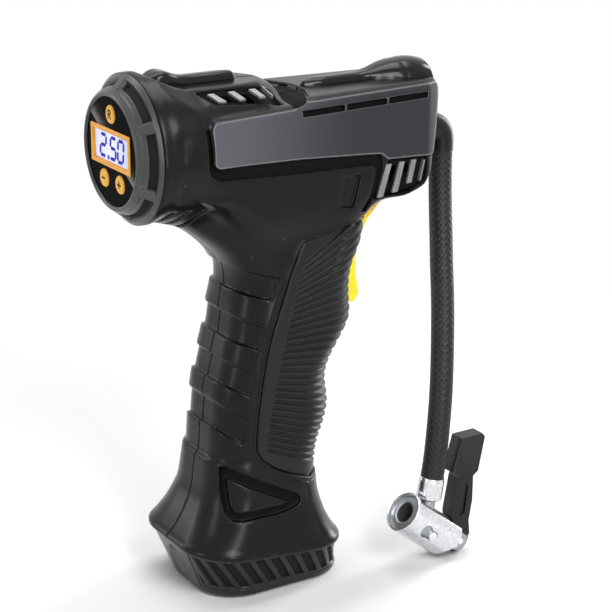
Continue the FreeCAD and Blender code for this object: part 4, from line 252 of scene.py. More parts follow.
@dataclass(frozen=True)
class PanelledAbs(Finish):
    """Moulded ABS whose side panel is spark eroded: it scatters light where the rest is satin. The panel's
    grey is partly painted reflection, lighter to the rear, with a painted highlight round its rim.
    """

    # Grey of the panel, partly painted reflection; a lighter painted reflection to the rear; a painted
    # highlight on the rim
    panel_colour: str = "#2c2d31"
    panel_reflection_colour: str = "#54565b"
    panel_rim_highlight_colour: str = "#74767a"
    panel_roughness: float = 0.42
    # Places along the body, in metres, between which the panel's painted reflection falls off
    fade: Flat = (-0.04, 0.03)

    def dressing(self, tree: Tree, place: Socket) -> dict[str, Socket | float]:
        """Lays the panel over the satin surface where the points of the mesh say so, with its painted
        reflection and painted rim highlight.
        """
        satin = super().dressing(tree, place)
        mask = add_node(tree, "Attribute", {"attribute_name": "panel"}).outputs["Fac"]
        along = add_node(tree, "MapRange", {
            "interpolation_type": "SMOOTHSTEP", "From Min": self.fade[0], "From Max": self.fade[1],
            "Value": add_node(tree, "SeparateXYZ", {"Vector": place}).outputs["X"]})
        plate = add_node(tree, "Mix", {
            "data_type": "RGBA", 0: along.outputs["Result"], 6: linear(self.panel_reflection_colour),
            7: linear(self.panel_colour)})
        inner = add_node(tree, "MapRange", {"Value": mask, "From Min": 0.7, "From Max": 1.0})
        rim_highlighted = add_node(tree, "Mix", {
            "data_type": "RGBA", 0: inner.outputs["Result"], 6: linear(self.panel_rim_highlight_colour),
            7: plate.outputs[2]})
        cover = add_node(tree, "MapRange", {"Value": mask, "From Min": 0.3, "From Max": 0.6})
        colour = add_node(tree, "Mix", {
            "data_type": "RGBA", 0: cover.outputs["Result"], 6: satin["Base Color"], 7: rim_highlighted.outputs[2]})
        rough = add_node(tree, "Mix", {0: mask, 2: satin["Roughness"], 3: self.panel_roughness})
        return satin | {"Base Color": colour.outputs[2], "Roughness": rough.outputs[0]}


@dataclass(frozen=True)
class Rubber(Finish):
    """Overmoulded rubber: matt, with a soft bloom of light at grazing angles."""

    def dressing(self, tree: Tree, place: Socket) -> dict[str, Socket | float]:
        """Adds the bloom to the common dressing."""
        return super().dressing(tree, place) | {"Sheen Weight": 0.12, "Sheen Roughness": 0.5}


@dataclass(frozen=True)
class DrawnMetal(Finish):
    """Metal with fine lines that the polishing wheel or the tool left along one direction."""

    lines: Point = (1.0, 1.0, 12.0)
    line_mm: float = 3.0

    def relief(self, tree: Tree, place: Socket) -> Socket:
        """Lines drawn out across the given direction."""
        drawn = add_node(tree, "Mapping", {"Scale": self.lines, "Vector": place}).outputs["Vector"]
        line = add_node(tree, "TexNoise", {"Vector": drawn, "Scale": 1000 / self.line_mm, "Detail": 5.0})
        return add_node(tree, "Bump", {
            "Distance": self.relief_mm * MM, "Height": line.outputs["Fac"]}).outputs["Normal"]


@dataclass(frozen=True)
class PiercedSheet(Finish):
    """Painted sheet with a grid of small holes, drawn a little coarser than real so that they show."""

    hole_pitch_mm: float = 0.62
    hole_colour: str = "#4d4f50"

    def base(self, tree: Tree, place: Socket) -> Socket:
        """Paint with dark holes."""
        cell = add_node(tree, "TexVoronoi", {
            "Vector": place, "Scale": 1000 / self.hole_pitch_mm, "Randomness": 0.0})
        return add_node(tree, "ValToRGB", {
            "stops": [(0.26, linear(self.hole_colour)), (0.36, linear(self.colour))],
            "Fac": cell.outputs["Distance"]}).outputs["Color"]


@dataclass(frozen=True)
class BraidedYarn(Finish):
    """Textile braid: each yarn is a bundle of fibres, with painted shade in the crossings."""

    valley_shade_colour: str = "#030304"

    def base(self, tree: Tree, place: Socket) -> Socket:
        """Yarn colour over painted shade in the crossings."""
        lift = add_node(tree, "Attribute", {"attribute_name": "lift"}).outputs["Fac"]
        fibre = add_node(tree, "TexNoise", {"Vector": place, "Scale": 1000 / self.grain_mm, "Detail": 3.0})
        mixed = add_node(tree, "Math",
                         {"operation": "MULTIPLY_ADD", 0: fibre.outputs["Fac"], 1: 0.35, 2: lift})
        return add_node(tree, "ValToRGB", {
            "stops": [(0.3, linear(self.valley_shade_colour)), (1.0, linear(self.colour))],
            "Fac": mixed.outputs["Value"]}).outputs["Color"]


@dataclass(frozen=True)
class ShadedTip(Finish):
    """Moulded yellow ABS with an orange painted shade towards the upper end of the trigger."""

    # Orange of the painted shade, and the heights between which it comes in
    tip_shade_colour: str = "#F2A81E"
    start_mm: float = 128.0
    end_mm: float = 150.0

    def base(self, tree: Tree, place: Socket) -> Socket:
        """Yellow that runs into the orange painted shade with height."""
        share = add_node(tree, "MapRange", {
            "Value": add_node(tree, "SeparateXYZ", {"Vector": place}).outputs["Z"],
            "From Min": self.start_mm * MM, "From Max": self.end_mm * MM})
        return add_node(tree, "Mix", {
            "data_type": "RGBA", 0: share.outputs["Result"], 6: linear(self.colour),
            7: linear(self.tip_shade_colour)}).outputs[2]


@dataclass(frozen=True)
class ClearPlastic(Finish):
    """Polished clear acrylic."""

    def dressing(self, tree: Tree, place: Socket) -> dict[str, Socket | float]:
        """Lets light through, with a faint mould haze."""
        haze = add_node(tree, "MapRange", {
            "Value": self.clouding(tree, place), "To Min": self.roughness, "To Max": self.roughness * 2.5})
        return {"Transmission Weight": 0.92, "Roughness": haze.outputs["Result"]}


@dataclass(frozen=True)
class ReflectionBandAcrylic(Finish):
    """Black acrylic with a painted reflection: a diagonal band with one sharp edge, and a painted blue glow
    on one side.
    """

    band_reflection_colour: str = "#8d8a86"
    band_reflection_fade_colour: str = "#2c2b2b"
    # Colour of the painted blue glow near the rim
    rim_colour: str = "#15158a"
    # Direction across the band, and where it starts and ends along it
    band_across: Point = (0.0, -0.551, 0.834)
    band_start_mm: float = 0.9
    band_end_mm: float = 8.4
    # Radii and places along Y between which the painted glow comes up
    rim_mm: Flat = (20.1, 21.7)
    glow_side_mm: Flat = (2.0, 12.0)

    def base(self, tree: Tree, place: Socket) -> Socket:
        """Black with the painted reflection band and the painted glow."""
        centred = add_node(tree, "VectorMath", {
            "operation": "MULTIPLY_ADD", 0: place, 1: (0.0, 1000.0, 1000.0),
            2: (0.0, 0.0, -HEAD_AXIS)}).outputs["Vector"]
        across = add_node(tree, "VectorMath", {"operation": "DOT_PRODUCT", 0: centred, 1: self.band_across})
        share = add_node(tree, "MapRange", {
            "Value": across.outputs["Value"], "From Min": self.band_start_mm, "From Max": self.band_end_mm})
        black = linear(self.colour)
        band = add_node(tree, "ValToRGB", {
            "stops": [(0.0, black), (1.0, black), (0.03, linear(self.band_reflection_colour)),
                      (0.55, linear(self.band_reflection_fade_colour))], "Fac": share.outputs["Result"]})
        away = add_node(tree, "VectorMath", {"operation": "LENGTH", 0: centred}).outputs["Value"]
        ring = add_node(tree, "MapRange",
                        {"Value": away, "From Min": self.rim_mm[0], "From Max": self.rim_mm[1]})
        side = add_node(tree, "MapRange", {
            "Value": add_node(tree, "SeparateXYZ", {"Vector": centred}).outputs["Y"],
            "From Min": self.glow_side_mm[0], "From Max": self.glow_side_mm[1]})
        glow = add_node(tree, "Math",
                        {"operation": "MULTIPLY", 0: ring.outputs["Result"], 1: side.outputs["Result"]})
        return add_node(tree, "Mix", {
            "data_type": "RGBA", 0: glow.outputs["Value"], 6: band.outputs["Color"],
            7: linear(self.rim_colour)}).outputs[2]


@dataclass(frozen=True)
class LitScreen(Finish):
    """Backlit liquid crystal screen: a pale field, a little darker to its corners, with a pixel grid."""

    glow: float = 0.3
    pixel_mm: float = 0.5
    half_width_mm: float = 13.0
    left_colour: str = "#C9CCEE"
    right_colour: str = "#D5D8F4"
    grid_colour: str = "#8F94C8"

    def dressing(self, tree: Tree, place: Socket) -> dict[str, Socket | float]:
        """Field and grid, lit by the backlight."""
        spread = add_node(tree, "MapRange", {
            "Value": add_node(tree, "SeparateXYZ", {"Vector": place}).outputs["Y"],
            "From Min": -self.half_width_mm * MM, "From Max": self.half_width_mm * MM})
        rows = add_node(tree, "TexVoronoi", {
            "distance": "CHEBYCHEV", "Vector": place, "Scale": 1000 / self.pixel_mm, "Randomness": 0.0})
        grid = add_node(tree, "MapRange", {
            "Value": rows.outputs["Distance"], "From Min": 0.42, "From Max": 0.5, "To Max": 0.06})
        tone = add_node(tree, "ValToRGB", {
            "stops": [(0.0, linear(self.left_colour)), (0.5, linear(self.colour)),
                      (1.0, linear(self.right_colour))],
            "Fac": spread.outputs["Result"]})
        lined = add_node(tree, "Mix", {
            "data_type": "RGBA", 0: grid.outputs["Result"], 6: tone.outputs["Color"],
            7: linear(self.grid_colour)}).outputs[2]
        return {"Base Color": lined, "Emission Color": lined, "Emission Strength": self.glow}


# Moulded ABS, polished in the tool: deep black with broad soft highlights, painted reflection on the side
# panel and painted shade in recesses
SHELL_ABS = PanelledAbs("moulded_black_abs", "#060708", 0.26, specular=0.19, grain_mm=0.35, relief_mm=0.002,
                        edge=0.2, shaded_recesses=True)
# The same ABS on the ring round the display: a finer spark-eroded satin, its grey partly painted reflection,
# with painted shade in its slots
BEZEL_ABS = Finish("satin_bezel_abs", "#323433", 0.3, specular=0.5, grain_mm=0.3, relief_mm=0.0015, edge=0.4,
                   shaded_recesses=True)
# The same ABS from a mirror-finished tool: sharp reflections
TRIM_ABS = Finish("gloss_black_abs", "#060607", 0.16, specular=0.26, relief_mm=0.0008, cloud=0.2)
# The same on the base cap, whose flutes are left unpolished and painted black as shade
FLUTED_ABS = Finish("fluted_black_abs", "#0d0e0f", 0.2, specular=0.4, relief_mm=0.0008, cloud=0.2,
                    shaded_recesses=True)
# Hard-coated black acrylic face with a painted grey reflection band and a painted blue glow
FACE_ACRYLIC = ReflectionBandAcrylic("black_acrylic_face", "#020203", 0.12, specular=0.012, ior=1.49,
                             relief_mm=0.0003, edge=0.0)
# Soft rubber moulded over the handle: matt, grey where light grazes it
GRIP_RUBBER = Rubber("grip_rubber", "#0a0b0c", 0.38, specular=0.22, grain_mm=0.5, relief_mm=0.01, edge=0.12)
# Small rubber parts: seals, tubes and the port cover
SEAL_RUBBER = Rubber("seal_rubber", "#17181a", 0.55, grain_mm=0.6, relief_mm=0.01, edge=0.1)
# Moulded yellow ABS of the trigger, with painted shade in orange towards its top
TRIGGER_ABS = ShadedTip("yellow_abs", "#F7E41F", 0.34, relief_mm=0.003, edge=0.1, edge_colour="#FFF9B0")
# Painted and pierced sheet of the vent bars
BAR_SHEET = PiercedSheet("silver_pierced_sheet", "#8f9190", 0.4, metallic=0.3, specular=0.3, relief_mm=0.01)
# Orange ABS round the display
FRAME_ABS = Finish("orange_abs", "#EFA219", 0.35, relief_mm=0.002, edge=0.1, edge_colour="#FFD27A")
# Yellow-orange silicone of the keys, slightly soft to the touch
KEY_SILICONE = Finish("key_silicone", "#F4B032", 0.45, relief_mm=0.004, edge=0.1, edge_colour="#FFD98A")
# Backlit screen under glass
SCREEN_GLASS = LitScreen("backlit_screen", "#E6E6FA", 0.2, specular=0.2)
# Segments of the screen and printed marks: flat ink
DIGIT_INK = Finish("blue_segment_ink", "#1313b4", 0.5, specular=0.2, relief_mm=0.0005, edge=0.0)
MARK_INK = Finish("black_pad_print", "#0c0a08", 0.5, specular=0.1, relief_mm=0.0005, edge=0.0)
# Clear acrylic lens of the lamp and the cast epoxy of its diode
LENS_ACRYLIC = ClearPlastic("clear_acrylic", "#F4FAFF", 0.03, ior=1.49)
LED_EPOXY = Finish("white_led_epoxy", "#EDE9CF", 0.25, relief_mm=0.0005)
# Braided polyester sleeve over the hose: soft light on each yarn, painted shade in the crossings
HOSE_BRAID = BraidedYarn("polyester_braid", "#1a1b1e", 0.42, specular=0.3, grain_mm=0.25, relief_mm=0.03,
                         edge=0.0)
# Moulded rubber elbow, smoother than the grip
ELBOW_RUBBER = Rubber("elbow_rubber", "#08090a", 0.3, specular=0.2, grain_mm=0.5, relief_mm=0.004, edge=0.1)
# Nickel-chrome plated sheet and turned parts of the chuck: soft, long reflections
CHUCK_CHROME = DrawnMetal("satin_chrome_plate", "#d2d3d6", 0.2, metallic=1.0, relief_mm=0.0012,
                          lines=(12.0, 1.0, 1.0), edge=0.15, edge_colour="#f4f4f6")
FERRULE_CHROME = DrawnMetal("crimped_chrome_plate", "#c9cacd", 0.24, metallic=1.0, relief_mm=0.0015,
                            edge=0.15, edge_colour="#f4f4f6")
# Zinc-plated steel of screws, shafts and the pump frame, and polished steel of the chuck's pins
PLATED_STEEL = DrawnMetal("zinc_plated_steel", "#b9bbbe", 0.28, metallic=1.0, relief_mm=0.001)
BRIGHT_STEEL = DrawnMetal("polished_steel_pin", "#e2e3e5", 0.12, metallic=1.0, relief_mm=0.0005)
# Die-cast zinc and aluminium: a dull grain from the mould
CAST_ZINC = Finish("die_cast_zinc", "#9c9fa2", 0.45, metallic=1.0, grain_mm=0.7, relief_mm=0.01)
# Glass-filled nylon of the lever: satin with a fine speckle
LEVER_NYLON = Finish("glass_filled_nylon", "#0a0b0c", 0.3, specular=0.25, grain_mm=0.3, relief_mm=0.005,
                     edge=0.3)
# Inner parts: moulded nylon and acetal, turned brass, solder mask, enamelled wire, sintered ferrite, sleeve
INNER_NYLON = Finish("moulded_nylon", "#1c1d1f", 0.55, relief_mm=0.006)
ACETAL = Finish("natural_acetal", "#d9d5c6", 0.4, relief_mm=0.003)
TURNED_BRASS = DrawnMetal("turned_brass", "#c9a455", 0.25, metallic=1.0, relief_mm=0.002)
BOARD = Finish("green_solder_mask", "#1c5a3a", 0.35, coat=0.4, relief_mm=0.003)
COPPER = Finish("enamelled_copper", "#a8612f", 0.35, metallic=1.0, grain_mm=0.5, relief_mm=0.03)
FERRITE = Finish("sintered_ferrite", "#3b3b3d", 0.7, relief_mm=0.01)
CELL_SLEEVE = Finish("shrink_sleeve", "#2b6ea8", 0.3, coat=0.3, relief_mm=0.002)

# Finish and edge rounding of every node of the construction
NODE_LOOKS = {name: (finish, width) for finish, width, names in (
    (SHELL_ABS, 0.45, "right_shell left_shell"), (SHELL_ABS, 0.4, "bezel_ring"), (TRIM_ABS, 0.4, "base_cap"),
    (TRIM_ABS, 0.45, "top_spine"), (TRIM_ABS, 0.5, "nose_rail"), (FACE_ACRYLIC, 0.15, "face_plate"),
    (FRAME_ABS, 0.3, "lcd_frame"), (SCREEN_GLASS, 0.05, "lcd_panel"), (LENS_ACRYLIC, 0.2, "lamp_lens"),
    (KEY_SILICONE, 0.25, "button_reset button_minus button_plus"), (LED_EPOXY, 0.1, "lamp_led"),
    (BAR_SHEET, 0.25, "right_upper_bars left_upper_bars right_nose_bars left_nose_bars"),
    (GRIP_RUBBER, 0.2, "grip_sleeve"), (TRIGGER_ABS, 0.6, "trigger"), (ELBOW_RUBBER, 0.5, "hose_elbow"),
    (HOSE_BRAID, 0.1, "hose"), (BOARD, 0.1, "display_board main_board"),
    (PLATED_STEEL, 0.05, "trigger_spring"),
    (PLATED_STEEL, 0.1, "trigger_pin gear_axle crank_pin piston_cap frame_screws"),
    (PLATED_STEEL, 0.15, "pump_frame casing_screws base_screws"), (PLATED_STEEL, 0.3, "motor_can"),
    (SEAL_RUBBER, 0.1, "piston_seal outlet_tube"), (SEAL_RUBBER, 0.15, "chuck_seal"),
    (SEAL_RUBBER, 0.3, "port_cover"), (INNER_NYLON, 0.1, "cooling_fan"),
    (INNER_NYLON, 0.15, "trigger_switch"), (INNER_NYLON, 0.3, "battery_holder"),
    (FERRITE, 0.2, "motor_magnets"), (COPPER, 0.2, "motor_rotor"), (TURNED_BRASS, 0.08, "pinion"),
    (TURNED_BRASS, 0.1, "axle_bush"), (TURNED_BRASS, 0.15, "hose_fitting"), (ACETAL, 0.1, "crank_gear"),
    (ACETAL, 0.2, "connecting_rod"), (CELL_SLEEVE, 0.2, "battery_cells"), (CAST_ZINC, 0.15, "cylinder"),
    (CAST_ZINC, 0.2, "cylinder_head"), (CAST_ZINC, 0.25, "chuck_body"), (CHUCK_CHROME, 0.15, "chuck_shell"),
    (FERRULE_CHROME, 0.2, "ferrule"), (BRIGHT_STEEL, 0.3, "guide_pin"), (BRIGHT_STEEL, 0.2, "lever_pin"),
    (LEVER_NYLON, 0.7, "chuck_lever"),
) for name in names.split()}


def new_piece(name: str, points: Sequence[Sequence[float]], faces: Sequence[Sequence[int]], finish: Finish,
              body: Body = Body.CASING) -> bpy.types.Object:
    """Makes a mesh piece and lets it ride.

    Args:
        name: the piece's name.
        points: corners in millimetres, in the common frame.
        faces: corner numbers of each face.
        finish: its surface.
        body: what it moves with.

    Returns:
        The new object.
    """
    mesh = bpy.data.meshes.new(name)
    mesh.from_pydata((np.asarray(points, float).reshape(-1, 3) * MM).tolist(), [], faces)
    mesh.validate()
    mesh.shade_smooth()
    made = bpy.data.objects.new(name, mesh)
    bpy.context.scene.collection.objects.link(made)
    mesh.materials.append(finish.material())
    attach(made, body.value)
    LOG.info("piece %s: %d faces, %s", name, len(mesh.polygons), finish.name)
    return made


def set_points(piece: bpy.types.Object, name: str, values: np.ndarray) -> None:
    """Stores one number for each point of a piece, for its material to read."""
    stored = piece.data.attributes.new(name, "FLOAT", "POINT")
    stored.data.foreach_set("value", values.astype(np.float32).ravel())


@contextmanager
def edited(mesh: bpy.types.Mesh) -> Iterator[bmesh.types.BMesh]:
    """Opens a mesh for changes and writes them back."""
    work = bmesh.new()
    work.from_mesh(mesh)
    yield work
    work.to_mesh(mesh)
    work.free()


def face_outwards(piece: bpy.types.Object) -> None:
    """Turns the faces of a closed piece outwards."""
    with edited(piece.data) as work:
        bmesh.ops.recalc_face_normals(work, faces=work.faces)


def soften(piece: bpy.types.Object, width: float) -> None:
    """Rounds the hard edges of a moulded or turned piece.

    Args:
        piece: object that gets the rounding as modifiers.
        width: width of the rounding.
    """
    weld = piece.modifiers.new("weld", "WELD")
    weld.merge_threshold = 0.002 * MM
    flatten = piece.modifiers.new("flatten", "DECIMATE")
    flatten.decimate_type = "DISSOLVE"
    flatten.angle_limit = math.radians(0.6)
    bevel = piece.modifiers.new("rounding", "BEVEL")
    bevel.width = width * MM
    bevel.segments = 2
    bevel.limit_method = "ANGLE"
    bevel.angle_limit = math.radians(34)
    bevel.miter_outer = "MITER_ARC"
    shade = piece.modifiers.new("shading", "WEIGHTED_NORMAL")
    shade.weight = 60
    shade.keep_sharp = False


def dress_construction(nodes: dict[str, bpy.types.Object]) -> None:
    """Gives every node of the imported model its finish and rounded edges.

    Args:
        nodes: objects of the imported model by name.
    """
    for name, piece in nodes.items():
        finish, width = NODE_LOOKS[name]
        mesh = piece.data
        if "custom_normal" in mesh.attributes:
            mesh.attributes.remove(mesh.attributes["custom_normal"])
        mesh.shade_smooth()
        mesh.materials.clear()
        mesh.materials.append(finish.material())
        soften(piece, width)
        LOG.info("node %s: %s", name, finish.name)


@dataclass
class Studio:
    """Camera, floor and lamps, in metres."""

    azimuth: float = -32.08
    elevation: float = 18.57
    roll: float = -0.24
    distance: float = 0.7087
    focal_pixels: float = 1849.53
    picture_pixels: int = 612
    sensor_mm: float = 36.0
    target: Point = (0.01518, 0.0, 0.10347)
    floor_half: float = 6.0
    floor_colour: str = "#F6F6F6"
    world_colour: str = "#F4F6FA"
    world_level: float = 0.2
    # Distances from the foot between which the floor turns from lit paper to plain white
    shadow_reach: float = 0.16
    white_from: float = 0.42
    # Soft boxes: name, place, width and height, watts
    boxes: tuple[tuple[str, Point, Flat, float], ...] = (
        ("front_strip", (-0.07, -0.5, 0.24), (0.05, 0.46), 0.8),
        ("left_strip", (-0.75, -0.12, 0.3), (0.07, 0.56), 0.9),
        ("right_strip", (0.62, 0.1, 0.28), (0.14, 0.56), 2.6),
        ("key_box", (0.02, -0.69, 0.68), (0.4, 0.34), 3.6),
        ("top_box", (0.05, 0.2, 1.1), (0.9, 0.7), 7.6),
        ("rear_strip", (-0.7, 0.8, 0.5), (0.2, 0.9), 2.4))

    def build(self) -> None:
        """Builds the whole studio."""
        self.camera()
        self.floor()
        self.world()
        for name, place, size, power in self.boxes:
            self.soft_box(name, place, size, power)

    def camera(self) -> None:
        """Places the camera as the photograph was taken."""
        turn, lift, roll = (math.radians(angle) for angle in (self.azimuth, self.elevation, self.roll))
        back = Vector((math.sin(turn) * math.cos(lift), -math.cos(turn) * math.cos(lift), math.sin(lift)))
        level = Vector((math.cos(turn), math.sin(turn), 0.0))
        upright = back.cross(level)
        right = level * math.cos(roll) - upright * math.sin(roll)
        top = level * math.sin(roll) + upright * math.cos(roll)
        data = bpy.data.cameras.new("camera")
        data.sensor_width = self.sensor_mm
        data.lens = self.focal_pixels * self.sensor_mm / self.picture_pixels
        data.clip_start, data.clip_end = 0.01, 50.0
        camera = bpy.data.objects.new("camera", data)
        bpy.context.scene.collection.objects.link(camera)
        place = Vector(self.target) + back * self.distance
        camera.matrix_world = Matrix.Translation(place) @ Matrix((right, top, back)).transposed().to_4x4()
        bpy.context.scene.camera = camera

    def floor(self) -> None:
        """Lays a plain pale floor under the object."""
        half = self.floor_half
        mesh = bpy.data.meshes.new("floor")
        corners = [(-half, -half, 0), (half, -half, 0), (half, half, 0), (-half, half, 0)]
        mesh.from_pydata(corners, [], [(0, 1, 2, 3)])
        floor = bpy.data.objects.new("floor", mesh)
        bpy.context.scene.collection.objects.link(floor)
        paper = bpy.data.materials.new("white_paper")
        paper.use_nodes = True
        tree = paper.node_tree
        tree.nodes.clear()
        away = add_node(tree, "VectorMath", {
            "operation": "LENGTH", 0: add_node(tree, "TexCoord", {}).outputs["Object"]})
        far = add_node(tree, "MapRange", {
            "interpolation_type": "SMOOTHSTEP", "Value": away.outputs["Value"], "From Min": self.shadow_reach,
            "From Max": self.white_from})
        share = add_node(tree, "Math",
                         {"operation": "MULTIPLY", 0: far.outputs["Result"], 1: self.seen(tree)})
        mixed = add_node(tree, "MixShader", {
            0: share.outputs["Value"],
            1: add_node(tree, "BsdfDiffuse", {"Color": linear(self.floor_colour)}).outputs["BSDF"],
            2: add_node(tree, "Emission", {"Color": linear("#FFFFFF"), "Strength": 1.0}).outputs["Emission"]})
        add_node(tree, "OutputMaterial", {"Surface": mixed.outputs["Shader"]})
        mesh.materials.append(paper)

    def seen(self, tree: Tree) -> Socket:
        """Is 1 for rays from the camera and for those that gloss and glass send on."""
        path = add_node(tree, "LightPath", {})
        first = add_node(tree, "Math", {
            "operation": "MAXIMUM", 0: path.outputs["Is Camera Ray"], 1: path.outputs["Is Glossy Ray"]})
        return add_node(tree, "Math", {
            "operation": "MAXIMUM", 0: first.outputs["Value"],
            1: path.outputs["Is Transmission Ray"]}).outputs["Value"]

    def world(self) -> None:
        """Even surroundings: white to the eye, dimmer as a light."""
        world = bpy.data.worlds.new("studio")
        bpy.context.scene.world = world
        world.use_nodes = True
        tree = world.node_tree
        tree.nodes.clear()
        dim = add_node(tree, "Background", {"Color": linear(self.world_colour), "Strength": self.world_level})
        white = add_node(tree, "Background", {"Color": linear("#FFFFFF"), "Strength": 1.0})
        mixed = add_node(tree, "MixShader", {
            0: self.seen(tree), 1: dim.outputs["Background"], 2: white.outputs["Background"]})
        add_node(tree, "OutputWorld", {"Surface": mixed.outputs["Shader"]})

    def soft_box(self, name: str, place: Point, size: Flat, power: float) -> None:
        """Hangs one soft box that faces the middle of the object.

        Args:
            name: the lamp's name.
            place: where it hangs.
            size: width and height.
            power: watts.
        """
        data = bpy.data.lights.new(name, "AREA")
        data.shape = "RECTANGLE"
        data.size, data.size_y = size
        data.energy = power
        lamp = bpy.data.objects.new(name, data)
        bpy.context.scene.collection.objects.link(lamp)
        lamp.location = place
        lamp.rotation_euler = (Vector(self.target) - Vector(place)).to_track_quat("-Z", "Y").to_euler()


def ring_faces(rings: int, columns: int, closed: bool = True) -> list[tuple[int, ...]]:
    """Faces between rings of points.

    Args:
        rings: how many rings.
        columns: points in each ring.
        closed: whether the last ring joins the first; both get a lid if not.

    Returns:
        Corner numbers of each face.
    """
    faces = []
    for ring in range(rings if closed else rings - 1):
        first, second = ring * columns, (ring + 1) % rings * columns
        for column in range(columns):
            after = (column + 1) % columns
            faces.append((first + column, second + column, second + after, first + after))
    if not closed:
        faces += [tuple(range(columns)), tuple(reversed(range((rings - 1) * columns, rings * columns)))]
    return faces


@dataclass
class Hose:
    """Braided hose from the elbow at the nose to the ferrule of the chuck."""

    radius: float = 4.6
    route: tuple[Point, ...] = (
        (77.0, 0.0, 157.0), (77.0, 0.0, 149.5), (76.5, -1.0, 141.8), (75.3, -3.2, 133.8), (73.4, -6.7, 124.5),
        (70.9, -11.0, 113.0), (68.4, -15.8, 101.5), (64.5, -21.8, 85.0), (60.9, -26.7, 67.5),
        (57.4, -29.8, 51.0), (55.507, -30.73, 40.035), (54.635, -30.73, 34.886))
    yarns: int = 11
    yarn_lift: float = 0.36
    under_share: float = 0.55
    rows_per_mm: float = 4.5
    columns: int = 96
    end_pieces: tuple[str, ...] = ("hose_elbow", "ferrule", "chuck_shell", "chuck_body", "chuck_seal",
                                   "guide_pin", "lever_pin", "chuck_lever")

    def centre_line(self) -> np.ndarray:
        """Returns points read along the smooth curve of the route."""
        data = bpy.data.curves.new("hose_line", "CURVE")
        data.dimensions = "3D"
        data.resolution_u = 24
        spline = data.splines.new("NURBS")
        spline.points.add(len(self.route) - 1)
        for point, place in zip(spline.points, self.route):
            point.co = (*place, 1.0)
        spline.order_u = 3
        spline.use_endpoint_u = True
        line = bpy.data.objects.new("hose_line", data)
        bpy.context.scene.collection.objects.link(line)
        bpy.context.view_layer.update()
        mesh = bpy.data.meshes.new_from_object(line)
        points = np.array([vertex.co for vertex in mesh.vertices])
        bpy.data.objects.remove(line)
        bpy.data.meshes.remove(mesh)
        return points

    def build(self) -> None:
        line = self.centre_line()
        steps = np.concatenate(([0.0], np.cumsum(np.linalg.norm(np.diff(line, axis=0), axis=1))))
        length = float(steps[-1])
        rows = int(length * self.rows_per_mm)
        marks = np.linspace(0.0, length, rows)
        centres = np.array([np.interp(marks, steps, line[:, axis]) for axis in range(3)]).T
        along = np.gradient(centres, axis=0)
        along /= np.linalg.norm(along, axis=1)[:, None]
        across = np.cross(along, (0.0, 1.0, 0.0))
        across /= np.linalg.norm(across, axis=1)[:, None]
        third = np.cross(along, across)
        turn = np.linspace(0, 2 * math.pi, self.columns, endpoint=False)
        lift = self.braid(marks, turn)
        radius = self.radius - self.yarn_lift * (1 - lift)
        points = centres[:, None] + radius[..., None] * (
            np.cos(turn)[:, None] * across[:, None] + np.sin(turn)[:, None] * third[:, None])
        faces = ring_faces(rows, self.columns, closed=False)
        piece = new_piece("braided_hose", points, faces, HOSE_BRAID)
        set_points(piece, "lift", lift)
        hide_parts("hose")

    def braid(self, marks: np.ndarray, turn: np.ndarray) -> np.ndarray:
        """Height of the braid, from 0 in a crossing to 1 on a yarn.

        Args:
            marks: distances along the hose.
            turn: angles round it.

        Returns:
            One height for each row and column.
        """
        walk = marks[:, None] / self.radius
        left, right = ((turn + way * walk) * self.yarns / math.pi / 2 for way in (1, -1))
        first, second = (np.sqrt(np.abs(np.cos(math.pi * place))) for place in (left, right))
        over = (np.floor(left + 0.5) + np.floor(right + 0.5)) % 2 > 0.5
        return np.where(over, np.maximum(first, self.under_share * second),
                        np.maximum(second, self.under_share * first))


def read(table: Sequence[Flat], place: np.ndarray) -> np.ndarray:
    """Value of a table of places and values at each place, straight between its rows."""
    return np.interp(place, *np.array(table).T)


def softened(line: np.ndarray, spread: float, reach: int) -> np.ndarray:
    """Evenly spaced values averaged with a bell curve; spread and reach are in steps."""
    bell = np.exp(-0.5 * (np.arange(-reach, reach + 1) / spread) ** 2)
    return np.convolve(np.pad(line, reach, mode="edge"), bell / bell.sum(), mode="valid")


def eased(place: np.ndarray, stations: Sequence[Sequence[float]], column: int) -> np.ndarray:
    """Values between stations, eased over a few millimetres so that no station shows.

    Args:
        place: where values are wanted.
        stations: rows that start with their place.
        column: which value of the rows is wanted.

    Returns:
        The eased values.
    """
    table = np.array(stations)
    fine = np.arange(table[0, 0] - 20, table[-1, 0] + 20, 0.5)
    return np.interp(place, fine, softened(np.interp(fine, table[:, 0], table[:, column]), 6.0, 24))


def smooth_step(value: np.ndarray, low: float, high: float) -> np.ndarray:
    """Rises from 0 to 1 between two values, or falls if they are given the other way round."""
    share = np.clip((value - low) / (high - low), 0.0, 1.0)
    return share * share * (3 - 2 * share)


def soft_max(first: np.ndarray, second: np.ndarray, blend: float | np.ndarray) -> np.ndarray:
    """Larger of two distances, rounded over the blend's width where they meet."""
    near = np.maximum(blend - np.abs(first - second), 0.0) / blend
    return np.maximum(first, second) + near * near * (blend / 4)


def carve(solid: np.ndarray, tool: np.ndarray, blend: float = 0.7) -> np.ndarray:
    """Takes a tool out of a solid and rounds the new edges."""
    return soft_max(solid, -tool, blend)


